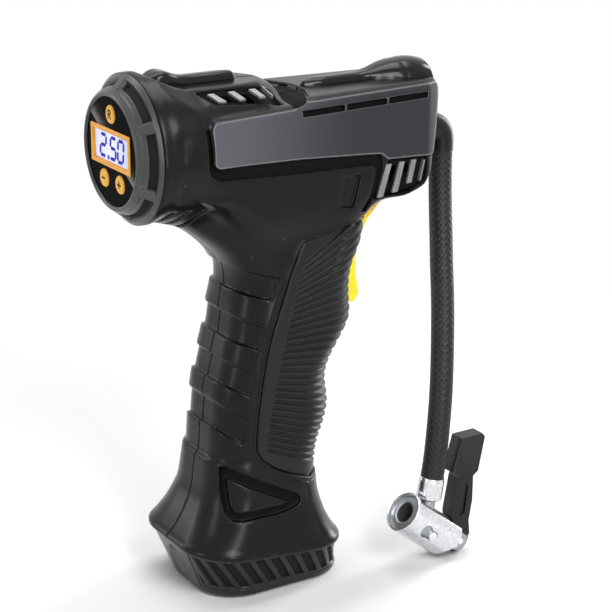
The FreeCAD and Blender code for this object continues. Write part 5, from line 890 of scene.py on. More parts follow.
def outline_distance(across: np.ndarray, up: np.ndarray, corners: Sequence[Flat]) -> np.ndarray:
    """Distance of places from a closed outline, below zero inside.

    Args:
        across: first coordinate, as a column for a grid of places.
        up: second coordinate, as a row for a grid of places.
        corners: the outline's corners.

    Returns:
        One distance for each place.
    """
    nearest = np.full(np.broadcast(across, up).shape, 1e9, np.float32)
    inside = np.zeros(nearest.shape, bool)
    for (x_0, z_0), (x_1, z_1) in zip(corners, (*corners[1:], corners[0])):
        run_x, run_z = x_1 - x_0, z_1 - z_0
        share = ((across - x_0) * run_x + (up - z_0) * run_z) / (run_x * run_x + run_z * run_z)
        share = np.clip(share, 0.0, 1.0)
        nearest = np.minimum(nearest, np.hypot(across - x_0 - share * run_x, up - z_0 - share * run_z))
        if run_z:
            crosses = (up >= min(z_0, z_1)) & (up < max(z_0, z_1))
            inside ^= crosses & (across < x_0 + (up - z_0) * run_x / run_z)
    return np.where(inside, -nearest, nearest)


def rounded_box(across: np.ndarray, aside: np.ndarray, half_length: np.ndarray | float,
                half_width: np.ndarray | float, corner: np.ndarray | float) -> np.ndarray:
    """Distance from a rounded rectangle, whose sizes may differ from height to height."""
    first = np.abs(across) - half_length + corner
    second = np.abs(aside) - half_width + corner
    outside = np.hypot(np.maximum(first, 0.0), np.maximum(second, 0.0))
    return outside + np.minimum(np.maximum(first, second), 0.0) - corner


def blurred(values: np.ndarray, cells: float) -> np.ndarray:
    """Blurs a field along its three axes with three short averages each, near to a bell curve.

    Args:
        values: the field.
        cells: standard deviation in cells.

    Returns:
        The blurred field.
    """
    half = max(1, round(math.sqrt(cells * cells + 0.25) - 0.5))
    for axis in range(3):
        for _ in range(3):
            wide = np.concatenate([
                np.repeat(np.take(values, [0], axis), half + 1, axis), values,
                np.repeat(np.take(values, [-1], axis), half, axis)], axis)
            total = np.cumsum(wide, axis, dtype=np.float64)
            count = values.shape[axis]
            high = np.take(total, range(2 * half + 1, 2 * half + 1 + count), axis)
            low = np.take(total, range(count), axis)
            values = ((high - low) / (2 * half + 1)).astype(np.float32)
    return values


@dataclass
class Block:
    """A block of cells in which a moulded piece is worked out."""

    low: Point
    high: Point
    cell: float

    def __post_init__(self) -> None:
        """Lays out the three axes."""
        axes = [np.arange(start, end, self.cell, dtype=np.float32) for start, end in zip(self.low, self.high)]
        self.x = axes[0][:, None, None]
        self.y = axes[1][None, :, None]
        self.z = axes[2][None, None, :]
        self.rise = self.z - HEAD_AXIS

    def mesh(self, name: str, values: np.ndarray, finish: Finish, slot: str) -> bpy.types.Object:
        """Turns a field of distances, below zero inside, into a mesh piece.

        Args:
            name: the piece's name.
            values: the distances.
            finish: its surface.
            slot: not used.

        Returns:
            The new object.
        """
        band = 3 * self.cell
        grid = openvdb.FloatGrid(background=band)
        grid.copyFromArray(np.clip(values, -band, band))
        points, quads = grid.convertToQuads(isovalue=0.0)
        return new_piece(name, points * self.cell + np.array(self.low), quads[:, ::-1].tolist(), finish)


@dataclass
class Casing:
    """Moulded casing: barrel, flat-sided body, handle and flared foot, blended and cut as one surface."""

    cell: float = 0.5
    wall: float = 2.4
    parting: float = 0.04
    # Distances from the middle plane at which cuts in the flat side and in the barrel stop
    side_stop: float = 9.0
    barrel_stop: float = 4.0
    rear_x: float = -58.6
    flange_end_x: float = -54.6
    # Radius of the barrel and rise of its flat top, along the body
    barrel: tuple[Flat, ...] = ((-58.6, 27.2), (-54.6, 27.2), (-52.0, 27.6), (-43.0, 27.6), (-33.0, 25.4),
                                (-12.0, 23.4), (-4.0, 19.5), (0.0, 15.0))
    crown: tuple[Flat, ...] = ((-54.6, 29.2), (-54.0, 26.6), (-46.6, 23.0), (-41.6, 21.4), (-4.0, 21.0),
                               (1.0, 13.7))
    # Bevelled shoulders: half width and rise of their upper and lower edges, and how far they lift off the
    # barrel between two places along the body
    flat_half: float = 11.5
    flat_rise: float = 21.4
    shoulder_half: float = 26.2
    shoulder_rise: float = 13.3
    shoulder_lift: float = 3.2
    shoulder_lift_x: Flat = (-38.0, -54.0)
    # Half width of the flat-sided body, and rises of its top and underside, along the body
    side_half: tuple[Flat, ...] = ((-46.0, 24.6), (-40.0, 26.2), (58.0, 17.8), (64.0, 15.2), (66.0, 12.4))
    side_top: tuple[Flat, ...] = ((-44.0, 8.0), (-38.0, 13.3), (-1.0, 13.3), (5.0, 15.2), (66.0, 15.2))
    side_low: tuple[Flat, ...] = ((-46.0, -14.0), (-40.0, -18.0), (-27.0, -28.0), (-18.0, -35.0),
                                  (24.0, -35.0), (35.0, -30.6), (45.0, -28.4), (54.0, -26.0), (58.5, -24.2),
                                  (61.8, -20.2))
    side_rear_x: float = -46.0
    # Nose front: rise and place along the body
    nose: tuple[Flat, ...] = ((-24.2, 58.5), (-20.2, 61.8), (8.7, 66.0), (15.2, 65.6))
    top_round: float = 5.0
    nose_round: float = 3.0
    # Sections of the flared foot above the rim: rise over it, length, width, corner, middle along the body
    skirt: tuple[tuple[float, ...], ...] = (
        (-1.8, 67.6, 57.6, 18.4, -13.0), (-1.2, 68.6, 58.6, 19.0, -13.0), (0.3, 68.6, 58.6, 19.0, -13.0),
        (1.2, 67.2, 57.8, 18.7, -13.0), (2.2, 64.8, 56.6, 18.4, -12.9), (8.0, 56.8, 53.4, 18.0, -12.4),
        (18.0, 49.6, 47.4, 17.0, -11.4), (33.5, 46.6, 43.4, 15.5, -10.8))
    skirt_step: float = 0.25
    skirt_eased: Flat = (3.0, 7.0)
    rim_height: float = 18.6
    rim_tilt: float = math.radians(5.8)
    rim_middle_x: float = -13.0
    rim_length: float = 68.6
    rim_half: float = 29.3
    rim_corner: float = 19.0
    # Wide blend and fine blend, and where the wide one fades in at the throat and at the barrel's rear
    blend: float = 4.6
    fine: float = 0.6
    throat_fades: tuple[tuple[str, float, float], ...] = (
        ("rise", -12.0, -22.0), ("x", 50.0, 36.0), ("z", 104.0, 118.0), ("x", -57.0, -51.0))
    rear_fades: tuple[tuple[str, float, float], ...] = (
        ("x", -22.0, -36.0), ("x", -54.0, -50.0), ("rise", 12.0, 6.0), ("rise", -20.0, -13.0))
    # Grip pads on the rear of the handle, as places along the body and heights
    pads: tuple[tuple[Flat, ...], ...] = (
        ((-46, 133.4), (-8.8, 123.9), (-12.3, 116), (-46, 124.4)),
        ((-46, 119), (-15.3, 105.7), (-17.4, 97.6), (-46, 108.4)),
        ((-46, 102.4), (-19.6, 88.6), (-21.4, 80.3), (-46, 92.2)),
        ((-46, 86.9), (-22.3, 70.9), (-24.1, 61.3), (-46, 77.4)))
    pad_depth: float = 1.3
    # Three-cornered channel on the foot, likewise
    channel_outer: tuple[Flat, ...] = (
        (-31.9, 50.4), (-31.4, 52.4), (-29.6, 52.6), (-3.4, 38.2), (-1.6, 36.4), (-2.2, 34.2), (-6.5, 32.9),
        (-12.1, 32.4), (-20.1, 32.8), (-27.0, 32.5), (-30.6, 33.0), (-32.2, 35.4))
    channel_inner: tuple[Flat, ...] = (
        (-30.0, 48.4), (-6.5, 35.9), (-10.0, 35.3), (-21.0, 35.7), (-27.2, 35.4), (-29.4, 36.0),
        (-30.0, 37.6))
    channel_depth: float = 1.7
    # Seat of the rubber grip, with a fine line round it
    grip_front: tuple[Flat, ...] = ((44.0, 42.7), (44.0, 139.2))
    grip_gap: float = 0.25
    grip_depth: float = 1.8
    line_away: float = 1.7
    line_half: float = 0.4
    line_depth: float = 0.5
    # Long channel under the side panel, as places along the body and rises
    groove: tuple[Flat, ...] = (
        (-41.2, 9.6), (-40.0, 9.6), (-39.8, -2.6), (-37.2, -4.9), (-1.3, -6.6), (31.2, -9.4), (35.4, -9.9),
        (36.4, -14.3), (33.9, -24.3), (30.0, -31.2), (27.4, -30.8), (30.9, -25.3), (33.4, -16.3),
        (32.4, -13.4), (30.9, -13.0), (-4.0, -11.2), (-36.5, -8.7), (-40.2, -6.4), (-41.2, -3.0))
    # Raised panel, less its corner rounding
    panel: tuple[Flat, ...] = ((-36.2, 9.0), (-36.2, -1.4), (-1.4, -3.2), (31.2, -6.0), (36.4, -6.6),
                               (39.6, -9.0), (60.4, -10.4), (62.0, 0.0), (62.6, 9.0), (61.6, 11.4),
                               (1.0, 11.4), (-3.0, 9.4))
    panel_corner: float = 2.9
    panel_lift: float = 0.35
    # Shallow pane, nose vent and its slits
    pane: tuple[Flat, ...] = ((18.5, -16.1), (26.3, -15.8), (23.0, -28.3), (16.8, -26.9))
    vent: tuple[Flat, ...] = ((38.9, -12.3), (57.5, -13.5), (58.2, -17), (57.4, -22.7), (49.8, -26.3),
                              (33.1, -26.8))
    vent_slits: tuple[tuple[Flat, ...], ...] = (
        ((41.9, -15.4), (44.0, -15.4), (41.4, -21.8), (38.6, -21.8)),
        ((48.3, -15.4), (49.8, -15.4), (48.2, -21.8), (45.6, -21.8)))
    # Row of slots in the panel: ends along the body, bridge between two, rises of its edges
    slot_count: int = 3
    slot_ends: Flat = (-0.5, 57.5)
    slot_bridge: float = 0.9
    slot_low: float = 9.0
    slot_high: float = 11.3
    # Vent on the shoulder and its slits, as places along the body and up the slope
    shoulder_vent: tuple[Flat, ...] = ((-39.0, 15.0), (-8.4, 15.0), (-5.0, 8.0), (-34.5, 8.0))
    shoulder_slits: tuple[tuple[Flat, ...], ...] = (
        ((-31.1, 13.2), (-27.1, 13.2), (-24.6, 9.6), (-28.1, 9.6)),
        ((-22.8, 13.2), (-18.7, 13.2), (-16.2, 9.6), (-20.4, 9.6)))
    slope_step: float = 0.25
    slope_reach: float = 24.0
    vent_depth: float = 1.6
    slit_depth: float = 6.0
    trigger_slot: tuple[Flat, ...] = ((17.6, -72.6), (60.0, -72.6), (60.0, -46.0), (47.6, -33.0),
                                      (48.0, -20.0), (17.6, -20.0))
    trigger_half: float = 6.0
    # Hollow behind the nose, seen from above
    scoop: tuple[Flat, ...] = ((-3.4, -21.5), (2.0, -20.5), (6.4, -15.0), (10.4, -6.0), (11.2, 6.0),
                               (4.0, 6.0), (-1.0, -6.0))
    scoop_rise: float = 12.2
    scoop_fall: float = 0.12
    scoop_depth: float = 1.7
    # Grooves under the barrel: places along the body, lean, rise where the places hold, top, half width and
    # depth
    barrel_grooves: tuple[float, ...] = (-53.0, -47.0, -40.8)
    groove_lean: float = 0.45
    groove_rise: float = -25.0
    groove_top: float = -20.0
    groove_half: float = 0.9
    groove_depth: float = 1.0
    # Openings for the bezel, for the elbow and for the base, which reaches a little above the rim
    bore_radius: float = 24.2
    elbow_radius: float = 5.0
    elbow_drop: float = 6.4
    elbow_x: float = 50.0
    base_reach: float = 2.0
    # Screws through the left half: place along the body, height, seat of the head from the middle plane
    screws: tuple[Point, ...] = ((-46.0, 153.2, 8.0), (56.5, 180.0, 13.6), (48.0, 152.8, 13.6),
                                 (-12.0, 129.0, 16.6), (11.0, 25.6, 18.5), (-34.6, 27.2, 16.0))
    boss_radius: float = 2.8
    boss_below: float = 2.5
    sink_radius: float = 2.4

    def build(self) -> None:
        """Works out the right half of the casing; the left half is its mirror image with the screws."""
        self.block = Block((-67.5, -30.8, 12.0), (67.5, 6.0, 203.0), self.cell)
        self.skin = self.blended()
        shell = soft_max(self.cut_sides(self.cut_handle(self.skin)), -self.cavity(), 0.5)
        shell = carve(shell, self.trigger_room())
        for x, z, _ in self.screws:
            boss = np.maximum(self.column(x, z, self.boss_radius), self.skin + self.boss_below)
            shell = np.minimum(shell, boss)
        self.half(shell, Side.RIGHT)
        for x, z, seat in self.screws:
            shell = carve(shell, np.maximum(self.column(x, z, self.sink_radius), self.block.y + seat), 0.4)
        self.half(shell, Side.LEFT)

    def half(self, shell: np.ndarray, side: Side) -> None:
        """Makes one half up to the middle plane.

        Args:
            shell: distances of the right half.
            side: which half is wanted.
        """
        name = side.name.lower()
        closed = np.maximum(shell, self.block.y + self.parting)
        piece = self.block.mesh(f"{name}_casing", closed, SHELL_ABS, "casing")
        self.mark(piece)
        if side is Side.LEFT:
            piece.data.transform(Matrix.Scale(-1.0, 4, (0.0, 1.0, 0.0)))
            piece.data.flip_normals()
        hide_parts(f"{name}_shell")

    def mark(self, piece: bpy.types.Object) -> None:
        """Marks the points of the side panel, whose colour carries painted reflection, and of the recesses,
        which get painted shade, for their own surfaces.
        """
        places = np.empty(len(piece.data.vertices) * 3, np.float32)
        piece.data.vertices.foreach_get("co", places)
        x, y, z = (places.reshape(-1, 3) / MM).T
        across, rise = -y, z - HEAD_AXIS

        def near(kept: np.ndarray, first: np.ndarray, second: np.ndarray,
                 *outlines: Sequence[Flat]) -> np.ndarray:
            """Distance from the nearest outline for the points that are kept, far for the others."""
            away = np.full(len(x), 9.0)
            fields = [outline_distance(first[kept], second[kept], corners) for corners in outlines]
            away[kept] = np.min(fields, axis=0)
            return away

        side = (across > 10.0) & (rise > -36.0)
        inward = read(self.side_half, x) - across
        slots = [self.slot(number) for number in range(self.slot_count)]
        # Floors of groove, vent and slots, then the hollow, shoulder vent and channel, get painted shade
        deep = smooth_step(near(side, x, rise, self.groove, self.vent, *slots), 0.25, -0.1)
        deep *= smooth_step(inward, -0.3, 0.2)
        top = (rise > 8.0) & (rise < 14.4)
        deep = np.maximum(deep, smooth_step(near(top, x, y, self.scoop), 0.0, -0.6))
        # Share of the panel, which carries its painted reflection and rim highlight
        share = smooth_step(near(side, x, rise, self.panel) - self.panel_corner, 0.3, -0.6) * (1 - deep)
        slope, under = self.on_slope(across, rise)
        shoulder = (across > 8.0) & (rise > self.shoulder_rise - 2.0) & (under > 0.2)
        vent = smooth_step(near(shoulder, x, slope, self.shoulder_vent), 0.2, -0.2)
        vent *= smooth_step(under, 0.2, 0.6)
        foot = (across > 10.0) & (z < 60.0)
        ring = np.maximum(near(foot, x, z, self.channel_outer), -near(foot, x, z, self.channel_inner))
        deep = np.maximum(np.maximum(deep, vent), smooth_step(ring, 0.0, -0.5))
        set_points(piece, "panel", share)
        set_points(piece, "deep", deep)

    def on_slope(self, across: np.ndarray, rise: np.ndarray) -> tuple[np.ndarray, np.ndarray]:
        """Places up the slope of the shoulder, and depths below it.

        Args:
            across: distances from the middle plane.
            rise: rises.

        Returns:
            One place and one depth for each.
        """
        angle = math.atan2(self.flat_rise - self.shoulder_rise, self.shoulder_half - self.flat_half)
        off, up = self.shoulder_half - across, rise - self.shoulder_rise
        return off * math.cos(angle) + up * math.sin(angle), off * math.sin(angle) - up * math.cos(angle)

    def column(self, x: float, z: float, radius: float) -> np.ndarray:
        """Round column across the casing."""
        return np.hypot(self.block.x - x, self.block.z - z) - radius

    def cavity(self) -> np.ndarray:
        """Inside of the casing with the openings for bezel, base and elbow."""
        block = self.block
        bezel = np.maximum(np.hypot(block.y, block.rise) - self.bore_radius, block.x - self.flange_end_x)
        elbow = np.hypot(block.y, block.rise + self.elbow_drop) - self.elbow_radius
        rim = rounded_box((block.x - self.rim_middle_x) / math.cos(self.rim_tilt), block.y,
                          self.rim_length / 2 - self.wall, self.rim_half - self.wall,
                          self.rim_corner - self.wall)
        base = np.maximum(rim, self.foot_rise() - self.base_reach)
        openings = np.minimum(bezel, np.minimum(np.maximum(elbow, self.elbow_x - block.x), base))
        return np.minimum(self.skin + self.wall, openings)

    def foot_rise(self) -> np.ndarray:
        """Height above the tilted rim."""
        return self.block.z - self.rim_height + (self.block.x - self.rim_middle_x) * math.tan(self.rim_tilt)

    def blended(self) -> np.ndarray:
        """Casing without its cuts: wide blends at the throat and behind it, fine ones elsewhere."""
        whole = np.minimum(np.minimum(self.barrel_field(), self.side_field()),
                           np.minimum(self.handle_field(), self.skirt_field()))
        fine, wide = (blurred(whole, spread / self.cell) for spread in (self.fine, self.blend))
        share = np.maximum(self.fade(self.throat_fades), self.fade(self.rear_fades))
        return fine + (wide - fine) * share

    def fade(self, limits: Sequence[tuple[str, float, float]]) -> np.ndarray:
        """Product of smooth steps along the axes of the block."""
        share = np.ones(1, np.float32)
        for axis, low, high in limits:
            share = share * smooth_step(getattr(self.block, axis), low, high)
        return share

    def barrel_field(self) -> np.ndarray:
        """Barrel with its flange, flat top and bevelled shoulders."""
        block = self.block
        body = np.maximum(np.hypot(block.y, block.rise) - read(self.barrel, block.x),
                          block.rise - read(self.crown, block.x))
        run, fall = self.shoulder_half - self.flat_half, self.flat_rise - self.shoulder_rise
        bevel = (np.abs(block.y) - self.flat_half) * fall + (block.rise - self.flat_rise) * run
        lift = self.shoulder_lift * smooth_step(block.x, *self.shoulder_lift_x)
        bevel = bevel / math.hypot(run, fall) - lift
        ends = np.maximum(self.rear_x - block.x, block.x)
        return np.maximum(np.maximum(body, bevel), ends).astype(np.float32)

    def side_field(self) -> np.ndarray:
        """Flat-sided body with the nose."""
        block = self.block
        half, top, low = (read(table, block.x) for table in (self.side_half, self.side_top, self.side_low))
        body = soft_max(np.abs(block.y) - half, block.rise - top, self.top_round)
        body = soft_max(body, block.x - read(self.nose, block.rise), self.nose_round)
        return np.maximum(np.maximum(body, low - block.rise), self.side_rear_x - block.x).astype(np.float32)

    def handle_field(self) -> np.ndarray:
        """Handle with its finger swells and the throat."""
        block = self.block
        rear, front, half, corner = (eased(block.z, HANDLE, column) for column in (1, 2, 3, 4))
        body = rounded_box(block.x - (rear + front) / 2, block.y, (front - rear) / 2, half, corner)
        ends = np.maximum(HANDLE[0][0] - block.z, block.z - HANDLE[-1][0])
        return np.maximum(body, ends).astype(np.float32)

    def skirt_field(self) -> np.ndarray:
        """Flared foot, worked out in the rim's tilted frame; its rim stays crisp."""
        rise = self.foot_rise()
        table = np.array(self.skirt)
        marks = np.arange(-4.0, 36.0, self.skirt_step)
        share = smooth_step(marks, *self.skirt_eased)
        sizes = []
        for column in (1, 2, 3, 4):
            line = np.interp(marks, table[:, 0], table[:, column])
            sizes.append(np.interp(rise, marks, line + (softened(line, 9.0, 30) - line) * share))
        length, width, corner, middle = sizes
        body = rounded_box((self.block.x - middle) / math.cos(self.rim_tilt), self.block.y, length / 2,
                           width / 2, corner)
        ends = np.maximum(table[0, 0] - rise, rise - table[-1, 0])
        return np.maximum(body, ends * math.cos(self.rim_tilt)).astype(np.float32)

    def side_view(self, corners: Sequence[Flat], level: float = 0.0) -> np.ndarray:
        """Distance from an outline in side view, whose heights count from a level."""
        return outline_distance(self.block.x[:, 0], self.block.z[0] - level, corners)

    def sunk(self, outline: np.ndarray, depth: float) -> np.ndarray:
        """Tool for a recess: inside an outline in side view, down to a depth below the surface."""
        return np.maximum(outline[:, None, :], -depth - self.skin)

    def cut_handle(self, body: np.ndarray) -> np.ndarray:
        """Cuts pads, three-cornered channel and the seat of the rubber grip."""
        ring = np.maximum(self.side_view(self.channel_outer), -self.side_view(self.channel_inner))
        grip = self.side_view(GRIP_EDGE + self.grip_front)
        # Outline, depth and blend of each cut
        cuts = [(self.side_view(corners), self.pad_depth, 0.9) for corners in self.pads]
        cuts += [(ring, self.channel_depth, 0.6), (grip - self.grip_gap, self.grip_depth, 0.5),
                 (np.abs(grip - self.line_away) - self.line_half, self.line_depth, 0.5)]
        for outline, depth, blend in cuts:
            body = carve(body, self.sunk(outline, depth), blend)
        return body

    def cut_sides(self, body: np.ndarray) -> np.ndarray:
        """Raises the panel and cuts channel, pane, slots, both vents, short grooves and the hollow."""
        aside = self.block.y + self.side_stop
        panel = self.side_view(self.panel, HEAD_AXIS) - self.panel_corner
        raised = np.maximum(self.skin - self.panel_lift, panel[:, None, :])
        body = np.minimum(body, np.maximum(raised, aside))
        # Outline, depth and blend of each cut
        cuts = [(self.groove, 1.5, 0.8), (self.pane, 1.3, 0.5), (self.vent, self.vent_depth, 0.6)]
        cuts += [(slit, self.slit_depth, 0.4) for slit in self.vent_slits]
        cuts += [(self.slot(number), 1.5, 0.3) for number in range(self.slot_count)]
        for corners, depth, blend in cuts:
            tool = np.maximum(self.sunk(self.side_view(corners, HEAD_AXIS), depth), aside)
            body = carve(body, tool, blend)
        return self.cut_barrel(self.cut_shoulder(body))

    def slot(self, number: int) -> tuple[Flat, ...]:
        """Corners of one slot of the row in the panel."""
        first, last = self.slot_ends
        length = (last - first - (self.slot_count - 1) * self.slot_bridge) / self.slot_count
        start = first + number * (length + self.slot_bridge)
        end = start + length
        return (start, self.slot_low), (end, self.slot_low), (end, self.slot_high), (start, self.slot_high)

    def cut_shoulder(self, body: np.ndarray) -> np.ndarray:
        """Cuts the vent on the bevelled shoulder, with its slits."""
        rise = self.block.rise[0]
        slope, _ = self.on_slope(-self.block.y[0], rise)
        marks = np.arange(0.0, self.slope_reach, self.slope_step)
        place = np.clip(slope / self.slope_step, 0, len(marks) - 1.01)
        lower = place.astype(int)
        part = (place - lower).astype(np.float32)
        # Outline, depth and blend of each cut
        cuts = [(self.shoulder_vent, self.vent_depth, 0.8)]
        cuts += [(slit, self.slit_depth, 0.4) for slit in self.shoulder_slits]
        for corners, depth, blend in cuts:
            table = outline_distance(self.block.x[:, 0], marks[None, :], corners)
            outline = table[:, lower] * (1 - part) + table[:, lower + 1] * part
            outline = np.maximum(outline, self.shoulder_rise - 3.0 - rise)
            body = carve(body, np.maximum(outline, -depth - self.skin), blend)
        return body

    def cut_barrel(self, body: np.ndarray) -> np.ndarray:
        """Cuts three short curved grooves under the barrel and the hollow where its top drops to the nose."""
        block = self.block
        for middle in self.barrel_grooves:
            lean = (block.rise - self.groove_rise) * self.groove_lean
            band = np.maximum(np.abs(block.x - middle - lean) - self.groove_half,
                              block.rise - self.groove_top)
            depth = np.maximum(-self.groove_depth - self.skin, block.y + self.barrel_stop)
            body = carve(body, np.maximum(band, depth), blend=0.8)
        scoop = outline_distance(block.x[:, 0], block.y[0].T, self.scoop)[:, :, None]
        floor = np.maximum(self.scoop_rise - block.rise + self.scoop_fall * block.y,
                           -self.scoop_depth - self.skin)
        return carve(body, np.maximum(scoop, floor))

    def trigger_room(self) -> np.ndarray:
        """Slot that the trigger swings in."""
        outline = self.side_view(self.trigger_slot, HEAD_AXIS)
        return np.maximum(outline[:, None, :], np.abs(self.block.y) - self.trigger_half)


@dataclass
class Bezel:
    """Conical ring round the display with six long stepped slots."""

    rear_x: float = -66.0
    # Outside of the ring from its front edge back to the flange: depth and radius
    outside: tuple[Flat, ...] = (
        (0.9, 19.35), (0.25, 19.6), (0.0, 20.1), (0.05, 20.7), (0.35, 21.1), (0.9, 21.5), (6.1, 25.5),
        (6.7, 26.2), (7.35, 27.1))
    # The rest of the section, round the back
    inside: tuple[Flat, ...] = ((7.4, 24.1), (10.9, 24.1), (10.9, 22.2), (3.0, 20.45), (0.9, 20.4))
    slots: int = 6
    slot_half_angle: float = 26.5
    slot_radius: float = 23.5
    slot_front: float = 1.9
    slot_back: float = 6.2
    ledge_depth: float = 0.7
    deep_depth: float = 2.3
    ledge_share: float = 0.38
    columns: int = 900
    rows: int = 64

    def build(self) -> None:
        """Builds the ring and lets it stand for the plain one."""
        table = np.array(self.outside)
        steps = np.concatenate(([0.0], np.cumsum(np.hypot(*np.diff(table, axis=0).T))))
        marks = np.linspace(0.0, steps[-1], self.rows)
        depth, radius = (np.interp(marks, steps, table[:, column])[:, None] for column in (0, 1))
        turn = np.linspace(0.0, 2 * math.pi, self.columns, endpoint=False)
        cut = self.relief(depth, turn)
        front = np.stack((depth + cut * 0.35, radius - cut), axis=-1)
        back = np.broadcast_to(np.array(self.inside)[:, None], (len(self.inside), self.columns, 2))
        depth, radius = np.moveaxis(np.concatenate((front, back)), -1, 0)
        points = np.stack((self.rear_x + depth, -radius * np.cos(turn), HEAD_AXIS + radius * np.sin(turn)),
                          axis=-1)
        piece = new_piece("slotted_bezel", points, ring_faces(len(points), self.columns), BEZEL_ABS)
        # The deep channels of the slots get painted shade
        deep = smooth_step(cut, self.ledge_depth + 0.1, self.ledge_depth + 0.6)
        set_points(piece, "deep", np.pad(deep, ((0, len(back)), (0, 0))))
        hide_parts("bezel_ring")

    def relief(self, depth: np.ndarray, turn: np.ndarray) -> np.ndarray:
        """How far the surface lies below the cone: a ledge and a deeper channel behind it in each slot.

        Args:
            depth: distance behind the front edge.
            turn: angle round the ring, from the side that the camera sees.

        Returns:
            A depth for each place.
        """
        pitch = 2 * math.pi / self.slots
        off = np.abs((turn + pitch / 2) % pitch - pitch / 2)
        end = (math.radians(self.slot_half_angle) - off) * self.slot_radius
        inside = np.minimum(end, np.minimum(depth - self.slot_front, self.slot_back - depth))
        step = self.slot_front + (self.slot_back - self.slot_front) * self.ledge_share
        shallow = self.ledge_depth * smooth_step(inside, -0.05, 0.3)
        behind = np.minimum(end - 0.7, depth - step)
        deep = (self.deep_depth - self.ledge_depth) * smooth_step(behind, -0.1, 0.3)
        return shallow + deep * smooth_step(inside, 0.0, 0.3)


@dataclass
class Trim:
    """Gloss trim along the top: hump and bar behind the display, rail and lamp boss on the nose."""

    cell: float = 0.3
    # Bar behind the display: place along the body, half width, rise of its top
    spine: tuple[Point, ...] = (
        (-53.0, 2.8, 23.4), (-51.6, 4.4, 25.6), (-49.4, 5.6, 27.4), (-47.0, 5.8, 28.0), (-44.6, 5.4, 27.6),
        (-42.0, 4.4, 25.2), (-39.6, 3.8, 24.2), (-36.0, 3.6, 24.3), (-19.0, 3.6, 24.3), (-17.2, 3.2, 23.9))
    spine_foot: float = 19.6
    # Rail on the nose: the same
    rail: tuple[Point, ...] = (
        (12.6, 0.6, 16.9), (17.4, 3.6, 17.8), (40.0, 3.8, 17.8), (43.0, 5.2, 18.8), (48.0, 8.4, 20.6),
        (54.0, 10.6, 21.6), (62.0, 11.2, 21.8), (65.0, 11.0, 21.0), (66.0, 10.4, 19.6))
    rail_foot: float = 12.8
    # Seat of the rail in the nose: middle and half sizes, along the body, across it and as rises
    seat_middle: Point = (61.2, 0.0, 12.0)
    seat_half: Point = (4.4, 5.6, 3.0)
    lens_radius: float = 2.6
    lens_rise: float = 13.1
    lens_x: float = 57.5
    # Rounding along the top edges of both bars: place along the body and width
    crown: tuple[Flat, ...] = ((-60.0, 3.0), (40.0, 3.0), (54.0, 11.0), (66.0, 12.0))

    def build(self) -> None:
        """Builds both pieces."""
        block = Block((-55.5, -7.5, 192.5), (-14.0, 7.5, 203.5), self.cell)
        piece = block.mesh("spine_trim", self.bar(block, self.spine, self.spine_foot), TRIM_ABS, "trim")
        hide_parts("top_spine")
        block = Block((11.4, -12.5, 168.5), (67.2, 12.5, 198.0), self.cell)
        sides = [np.abs(axis - middle) - half for axis, middle, half in zip(
            (block.x, block.y, block.rise), self.seat_middle, self.seat_half)]
        seat = np.maximum(np.maximum(*sides[:2]), sides[2])
        rail = np.minimum(self.bar(block, self.rail, self.rail_foot), seat)
        bore = np.maximum(np.hypot(block.y, block.rise - self.lens_rise) - self.lens_radius,
                          self.lens_x - block.x)
        piece = block.mesh("lamp_rail", carve(rail, bore, 0.4), TRIM_ABS, "trim")
        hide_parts("nose_rail")

    def bar(self, block: Block, stations: Sequence[Point], foot: float) -> np.ndarray:
        """Rounded bar that follows a line of stations.

        Args:
            block: the cells.
            stations: place, half width and rise of the top at each station.
            foot: rise of its underside.

        Returns:
            Distances from the bar.
        """
        half, top = (eased(block.x, stations, column) for column in (1, 2))
        body = soft_max(np.abs(block.y) - half, block.rise - top, read(self.crown, block.x))
        ends = np.maximum(stations[0][0] - block.x, block.x - stations[-1][0])
        return np.maximum(soft_max(body, ends, 0.8), foot - block.rise).astype(np.float32)


@dataclass
class VentStrips:
    """Thin last bar of each vent, drawn in plate that stands on edge."""

    # Ends of each strip on the right half and the way it faces
    strips: tuple[tuple[Point, Point, Point], ...] = (
        ((-12.3, -13.9, 194.5), (-10.6, -18.7, 191.8), (0.0, -0.482, 0.875)),
        ((56.6, -17.9, 159.6), (54.6, -18.1, 151.6), (0.09, -0.996, 0.0)))
    half_width: float = 0.28
    top_depth: float = 0.1
    low_depth: float = 1.7

    def build(self) -> None:
        """Builds the strips of both sides."""
        for side in Side:
            points, faces = [], []
            for start, end, facing in self.strips:
                first, last, outward = Vector(start), Vector(end), Vector(facing)
                aside = (last - first).normalized().cross(outward) * self.half_width
                faces += [tuple(len(points) + corner for corner in face)
                          for face in ring_faces(2, 4, closed=False)]
                for depth in (self.low_depth, self.top_depth):
                    points += [corner - outward * depth for corner in (
                        first + aside, first - aside, last - aside, last + aside)]
            mirror = (1.0, -float(side.value), 1.0)
            piece = new_piece(f"{side.name.lower()}_vent_strips", np.array(points) * mirror, faces, BAR_SHEET)
            face_outwards(piece)
            soften(piece, 0.1)


